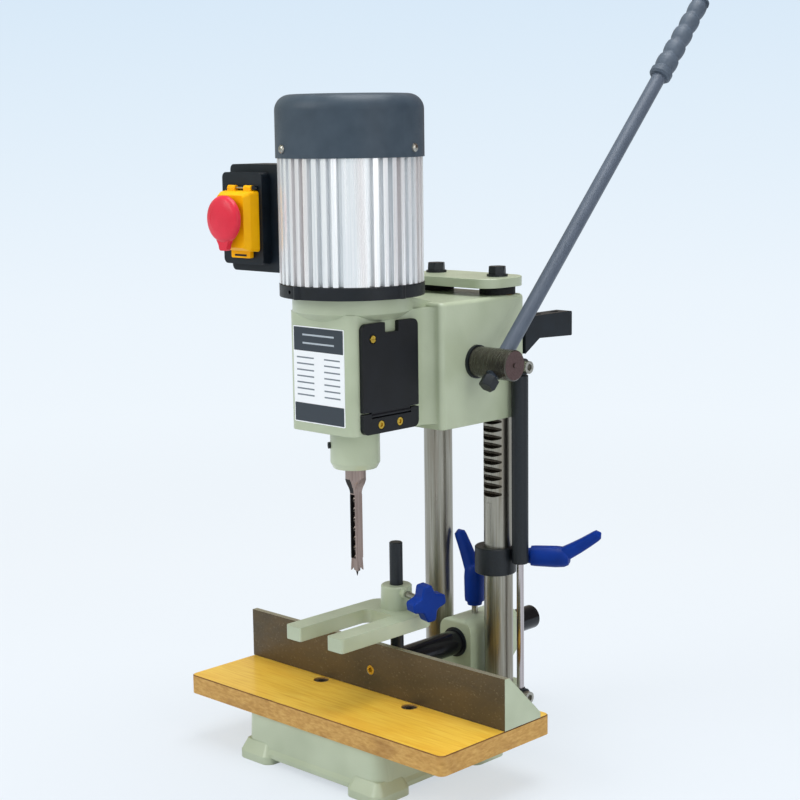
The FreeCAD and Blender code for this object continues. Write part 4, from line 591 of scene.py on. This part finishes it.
def make_chisel():
    """Shank and throat, the slotted square tube, the flared points, and painted shade: dark faces on the throat's
    front left and dark sheets in the bore behind the slot.
    """
    h = CHISEL_HALF
    low = CHISEL_BOTTOM + TIP_HEIGHT
    high = CHISEL_SQUARE_TOP - 1.0
    shell = bmesh.new()
    rings = [square_ring(h, high), square_ring(h, CHISEL_SQUARE_TOP)]
    steps = 14
    for k in range(1, steps + 1):
        t = k / steps
        z = CHISEL_SQUARE_TOP + (SHANK_BOTTOM + 4.0 - CHISEL_SQUARE_TOP) * t
        rings.append(square_ring(h + 6.2 * t ** 1.7, z, 64, 5.4 + (SHANK_RADIUS - 5.4) * min(1.0, t * 1.3)))
    rings.append(square_ring(NO_LIMIT, SHANK_BOTTOM + 4.0, 64, SHANK_RADIUS))
    rings.append(square_ring(NO_LIMIT, SHANK_TOP, 64, SHANK_RADIUS))
    skin(shell, rings)
    w = h - CHISEL_WALL
    section = [(SLOT_TO, -h), (h, -h), (h, h), (-h, h), (-h, -0.5), (-w, -0.5), (-w, w), (w, w), (w, -w),
               (SLOT_TO, -w)]
    skin(shell, [[Vector((u, SPINDLE_Y + v, z)) * MM for u, v in section] for z in (low, high)])
    tip = []
    for z, spread in ((low, 0.0), (CHISEL_BOTTOM + 4.5, 0.35)):
        tip.append(square_ring(h + spread, z, TIP_SIDES))
    rim = []
    inside = []
    for k in range(TIP_SIDES):
        a = 2 * math.pi * (k + 0.5) / TIP_SIDES
        corner = abs(math.sin(2 * a))
        tooth = 0.7 * abs(math.sin(8 * a))
        reach = (h + 0.5) / max(abs(math.cos(a)), abs(math.sin(a)))
        z = CHISEL_BOTTOM + 3.4 * (1.0 - corner) + tooth
        rim.append(Vector((reach * math.cos(a), SPINDLE_Y + reach * math.sin(a), z)) * MM)
        inside.append(Vector((3.3 * math.cos(a), SPINDLE_Y + 3.3 * math.sin(a), CHISEL_BOTTOM + 4.2)) * MM)
    skin(shell, tip + [rim, inside])
    tube = finished(shell, "chisel_tube", "chisel_steel", "head", ["hollow_chisel"], 25.0).data
    tube.materials.append(MATERIALS["chisel_bore_shade"])
    for face in tube.polygons:
        c, n = face.center, face.normal
        # front-left faces of the throat, where the bore opens, get the dark painted shade
        shaded_throat = CHISEL_SQUARE_TOP < c.z / MM < SHANK_BOTTOM + 2.0 and n.y < -0.4 and c.x / MM < 1.0
        face.material_index = 1 if shaded_throat else 0
    shell = bmesh.new()
    # dark sheets just inside the tube behind the slot: painted shade in the bore
    back = [(-w + 0.05, w - 0.05), (-w + 0.05, w - 0.4), (w - 0.4, w - 0.4), (w - 0.4, -w + 0.05),
            (w - 0.05, -w + 0.05), (w - 0.05, w - 0.05)]
    skin(shell, [[Vector((u, SPINDLE_Y + v, z)) * MM for u, v in back] for z in (low + 0.1, high - 0.1)])
    left = [(-h, -h + 0.2), (-w, -h + 0.2), (-w, -0.55), (-h, -0.55)]
    skin(shell, [[Vector((u, SPINDLE_Y + v, z)) * MM for u, v in left] for z in (low + 0.1, high - 0.1)])
    finished(shell, "chisel_bore_shade_sheet", "chisel_bore_shade", "head", [])


make_lever()
make_clamps()
make_paddle()
make_chisel()
plate("flap_latch_slot", (-101.5, -64.75, 469.6), (-85.5, -64.5, 471.4), "black_plastic", "flap", 0.5)


def rule_tree():
    """A tree that makes rows of equal bars, one under the other."""
    tree = bpy.data.node_groups.new("ruled_rows", "GeometryNodeTree")
    tree.interface.new_socket(name="Geometry", in_out="OUTPUT", socket_type="NodeSocketGeometry")
    for label, kind in (("Rows", "Int"), ("Pitch", "Float"), ("Start", "Vector"), ("Bar", "Vector"),
                        ("Finish", "Material")):
        tree.interface.new_socket(name=label, in_out="INPUT", socket_type="NodeSocket" + kind)
    given = add(tree, "NodeGroupInput").outputs
    down = add(tree, "ShaderNodeMath", {0: given["Pitch"], 1: -1.0}, operation="MULTIPLY")
    step = add(tree, "ShaderNodeCombineXYZ", {"Z": down.outputs[0]})
    rows = add(tree, "GeometryNodeMeshLine", {"Count": given["Rows"], "Start Location": given["Start"],
                                              "Offset": step.outputs[0]}, mode="OFFSET")
    bar = add(tree, "GeometryNodeMeshCube", {"Size": given["Bar"]})
    copies = add(tree, "GeometryNodeInstanceOnPoints", {"Points": rows.outputs["Mesh"],
                                                        "Instance": bar.outputs["Mesh"]})
    real = add(tree, "GeometryNodeRealizeInstances", {"Geometry": copies.outputs["Instances"]})
    painted = add(tree, "GeometryNodeSetMaterial", {"Geometry": real.outputs[0], "Material": given["Finish"]})
    add(tree, "NodeGroupOutput", {"Geometry": painted.outputs[0]})
    return tree


def ruled_rows(tree, name, rows, pitch, start, bar, finish, body):
    """Bars of that size in millimetres, from start downwards, as one plain mesh."""
    values = {"Rows": rows, "Pitch": pitch * MM, "Start": [v * MM for v in start],
              "Bar": [v * MM for v in bar], "Finish": MATERIALS[finish]}
    maker = bpy.data.objects.new(name + "_maker", bpy.data.meshes.new(name + "_maker"))
    bpy.context.collection.objects.link(maker)
    modifier = maker.modifiers.new("rows", "NODES")
    modifier.node_group = tree
    for socket in tree.interface.items_tree:
        if socket.in_out == "INPUT":
            modifier[socket.identifier] = values[socket.name]
    graph = bpy.context.evaluated_depsgraph_get()
    mesh = bpy.data.meshes.new_from_object(maker.evaluated_get(graph))
    bpy.data.objects.remove(maker)
    return piece(name, mesh, finish, body)


# The blank label: a white plate with two dark bands and plain ruled rows
LABEL_HALF_WIDTH = 32.25
LABEL_LOW = 324.0
LABEL_HIGH = 410.5
LABEL_FACE = -58.0
LABEL_THICK = 0.5
INK = 0.08
BAND_TOP = 388.5
BAND_BOTTOM = 341.5
BORDER = 0.9


def make_label():
    """The plate, its border left white by the bands, and rows of plain rules in place of words."""
    back = LABEL_FACE + 0.1
    face = LABEL_FACE - LABEL_THICK
    x = LABEL_HALF_WIDTH
    plate("label_plate", (-x, face, LABEL_LOW), (x, back, LABEL_HIGH), "label_white", "head", 1.2)
    x -= BORDER
    for name, low, high in (("label_band_top", BAND_TOP, LABEL_HIGH - BORDER),
                            ("label_band_bottom", LABEL_LOW + BORDER, BAND_BOTTOM)):
        plate(name, (-x, face - INK, low), (x, face, high), "label_slate", "head", 0.6)
    tree = rule_tree()
    y = face - INK / 2
    rows, pitch = 7, 5.6
    first = BAND_TOP - 6.0
    for name, centre, width in (("label_rules_left", -17.0, 22.0), ("label_rules_right", 17.0, 20.0)):
        ruled_rows(tree, name, rows, pitch, (centre, y, first), (width, INK, 1.3), "label_rule", "head")
    ruled_rows(tree, "label_title_rules", 2, 7.4, (0.0, face - 1.5 * INK, LABEL_HIGH - 7.5), (40.0, INK, 1.5),
               "label_grey", "head")


make_label()


# Floor, backdrop and light
PALE = [(0.0, "#EEF5FC"), (0.3, "#F3F9FE"), (0.62, "#ECF5FD"), (0.86, "#E0EEFA"), (1.0, "#D8E9F8")]
LOWEST_VIEW = -0.39
HIGHEST_VIEW = 0.08
FLOOR_REACH = 8.0
FLOOR_NEAR = 0.45
FLOOR_FAR = 2.0


def pale_by_height(tree, height):
    """The backdrop's colour, paler below and bluer above, by the height of the view's direction."""
    share = add(tree, "ShaderNodeMapRange", {"Value": height, "From Min": LOWEST_VIEW, "From Max": HIGHEST_VIEW})
    return ramp(tree, share.outputs[0], PALE)


def seen_directly(tree):
    """One for camera, glossy and transmission rays, which see the backdrop; nought for light that bounces."""
    path = add(tree, "ShaderNodeLightPath").outputs
    first = add(tree, "ShaderNodeMath", {0: path["Is Camera Ray"], 1: path["Is Glossy Ray"]}, operation="MAXIMUM")
    both = add(tree, "ShaderNodeMath", {0: first.outputs[0], 1: path["Is Transmission Ray"]}, operation="MAXIMUM")
    return both.outputs[0]


def make_floor():
    """A floor that takes soft shadows near the machine and fades into the backdrop's own colour."""
    reach = FLOOR_REACH
    mesh = bpy.data.meshes.new("floor")
    mesh.from_pydata([(-reach, -reach, 0), (reach, -reach, 0), (reach, reach, 0), (-reach, reach, 0)], [],
                     [(0, 1, 2, 3)])
    floor = bpy.data.objects.new("floor", mesh)
    bpy.context.collection.objects.link(floor)
    material = bpy.data.materials.new("pale_floor")
    material.use_nodes = True
    tree = material.node_tree
    tree.nodes.clear()
    geometry = add(tree, "ShaderNodeNewGeometry").outputs
    incoming = add(tree, "ShaderNodeSeparateXYZ", {0: geometry["Incoming"]})
    height = add(tree, "ShaderNodeMath", {0: incoming.outputs["Z"], 1: -1.0}, operation="MULTIPLY")
    pale = pale_by_height(tree, height.outputs[0])
    distance = add(tree, "ShaderNodeVectorMath", {0: geometry["Position"]}, operation="LENGTH")
    away = add(tree, "ShaderNodeMapRange", {"Value": distance.outputs["Value"], "From Min": FLOOR_NEAR,
                                            "From Max": FLOOR_FAR}, interpolation_type="SMOOTHSTEP")
    lit = add(tree, "ShaderNodeBsdfDiffuse", {"Color": (0.22, 0.235, 0.25, 1.0)})
    glow = add(tree, "ShaderNodeEmission", {"Color": pale, "Strength": 0.65})
    near = add(tree, "ShaderNodeAddShader", {0: lit.outputs[0], 1: glow.outputs[0]})
    far = add(tree, "ShaderNodeEmission", {"Color": pale, "Strength": 1.0})
    shown = add(tree, "ShaderNodeMixShader", {0: away.outputs[0], 1: near.outputs[0], 2: far.outputs[0]})
    plain = add(tree, "ShaderNodeBsdfDiffuse", {"Color": (0.7, 0.72, 0.74, 1.0)})
    total = add(tree, "ShaderNodeMixShader", {0: seen_directly(tree), 1: plain.outputs[0], 2: shown.outputs[0]})
    add(tree, "ShaderNodeOutputMaterial", {"Surface": total.outputs[0]})
    mesh.materials.append(material)


STUDIO = [(-180, "#979B90"), (-110, "#8E9285"), (-82, "#9BA39C"), (-73, "#FFFFFF"), (-66, "#FFFFFF"),
          (-58, "#9FABAB"), (-25, "#A3AAA9"), (5, "#8C807A"), (35, "#5E5049"), (85, "#4C4039"),
          (120, "#7B7068"), (180, "#979B90")]
STUDIO_STRENGTH = 1.6


def studio_round(tree, direction):
    """What polished metal mirrors: pale walls, one bright strip and a dark brown side, by the compass."""
    axes = add(tree, "ShaderNodeSeparateXYZ", {0: direction})
    compass = add(tree, "ShaderNodeMath", {0: axes.outputs["Y"], 1: axes.outputs["X"]}, operation="ARCTAN2")
    share = add(tree, "ShaderNodeMapRange", {"Value": compass.outputs[0], "From Min": -math.pi,
                                             "From Max": math.pi})
    return ramp(tree, share.outputs[0], [((angle + 180.0) / 360.0, colour) for angle, colour in STUDIO])


def make_world(fill_strength):
    """Three skies: one that the camera sees, one that polished metal mirrors and one that lights the rest."""
    world = bpy.data.worlds.new("studio")
    bpy.context.scene.world = world
    world.use_nodes = True
    tree = world.node_tree
    tree.nodes.clear()
    direction = add(tree, "ShaderNodeTexCoord").outputs["Generated"]
    height = add(tree, "ShaderNodeSeparateXYZ", {0: direction}).outputs["Z"]
    fill = add(tree, "ShaderNodeBackground", {"Color": linear("#F6F8FB"), "Strength": fill_strength})
    seen = add(tree, "ShaderNodeBackground", {"Color": pale_by_height(tree, height), "Strength": 1.0})
    mirrored = add(tree, "ShaderNodeBackground", {"Color": studio_round(tree, direction),
                                                  "Strength": STUDIO_STRENGTH})
    path = add(tree, "ShaderNodeLightPath").outputs
    mix = add(tree, "ShaderNodeMixShader", {0: seen_directly(tree), 1: fill.outputs[0], 2: seen.outputs[0]})
    all_rays = add(tree, "ShaderNodeMixShader", {0: path["Is Glossy Ray"], 1: mix.outputs[0],
                                                 2: mirrored.outputs[0]})
    add(tree, "ShaderNodeOutputWorld", {"Surface": all_rays.outputs[0]})


def area_light(name, place, target, size, power):
    data = bpy.data.lights.new(name, "AREA")
    data.shape = "RECTANGLE"
    data.size, data.size_y = size
    data.energy = power
    lamp = bpy.data.objects.new(name, data)
    bpy.context.collection.objects.link(lamp)
    lamp.location = place
    lamp.rotation_euler = (Vector(target) - Vector(place)).to_track_quat("-Z", "Y").to_euler()


def photograph_camera():
    """The camera at the place, angle and focal length that were fitted to the photograph."""
    data = bpy.data.cameras.new("photograph")
    data.sensor_width = SENSOR_MM
    data.lens = SENSOR_MM * FOCAL_PIXELS / IMAGE_PIXELS
    camera = bpy.data.objects.new("photograph", data)
    bpy.context.collection.objects.link(camera)
    a = math.radians(CAMERA_AZIMUTH)
    e = math.radians(CAMERA_ELEVATION)
    r = math.radians(CAMERA_ROLL)
    back = Vector((math.sin(a) * math.cos(e), -math.cos(a) * math.cos(e), math.sin(e)))
    right = (-back).cross(Vector((0, 0, 1))).normalized()
    up = right.cross(-back)
    right, up = right * math.cos(r) + up * math.sin(r), up * math.cos(r) - right * math.sin(r)
    turn = Matrix((right, up, back)).transposed().to_4x4()
    camera.matrix_world = Matrix.Translation(CAMERA_PLACE) @ turn
    bpy.context.scene.camera = camera


LIGHT_AIM = (0, 0, 0.35)
make_floor()
make_world(0.6)
for light_name, light_place, light_size, watts in (("key", (-1.0, -2.2, 1.9), (1.6, 1.6), 32),
                                                   ("side", (2.5, -0.3, 1.2), (1.2, 1.8), 14),
                                                   ("top", (0.2, 0.3, 2.7), (2.0, 1.4), 52)):
    area_light(light_name, light_place, LIGHT_AIM, light_size, watts)
photograph_camera()
bpy.context.scene.view_settings.view_transform = "Standard"
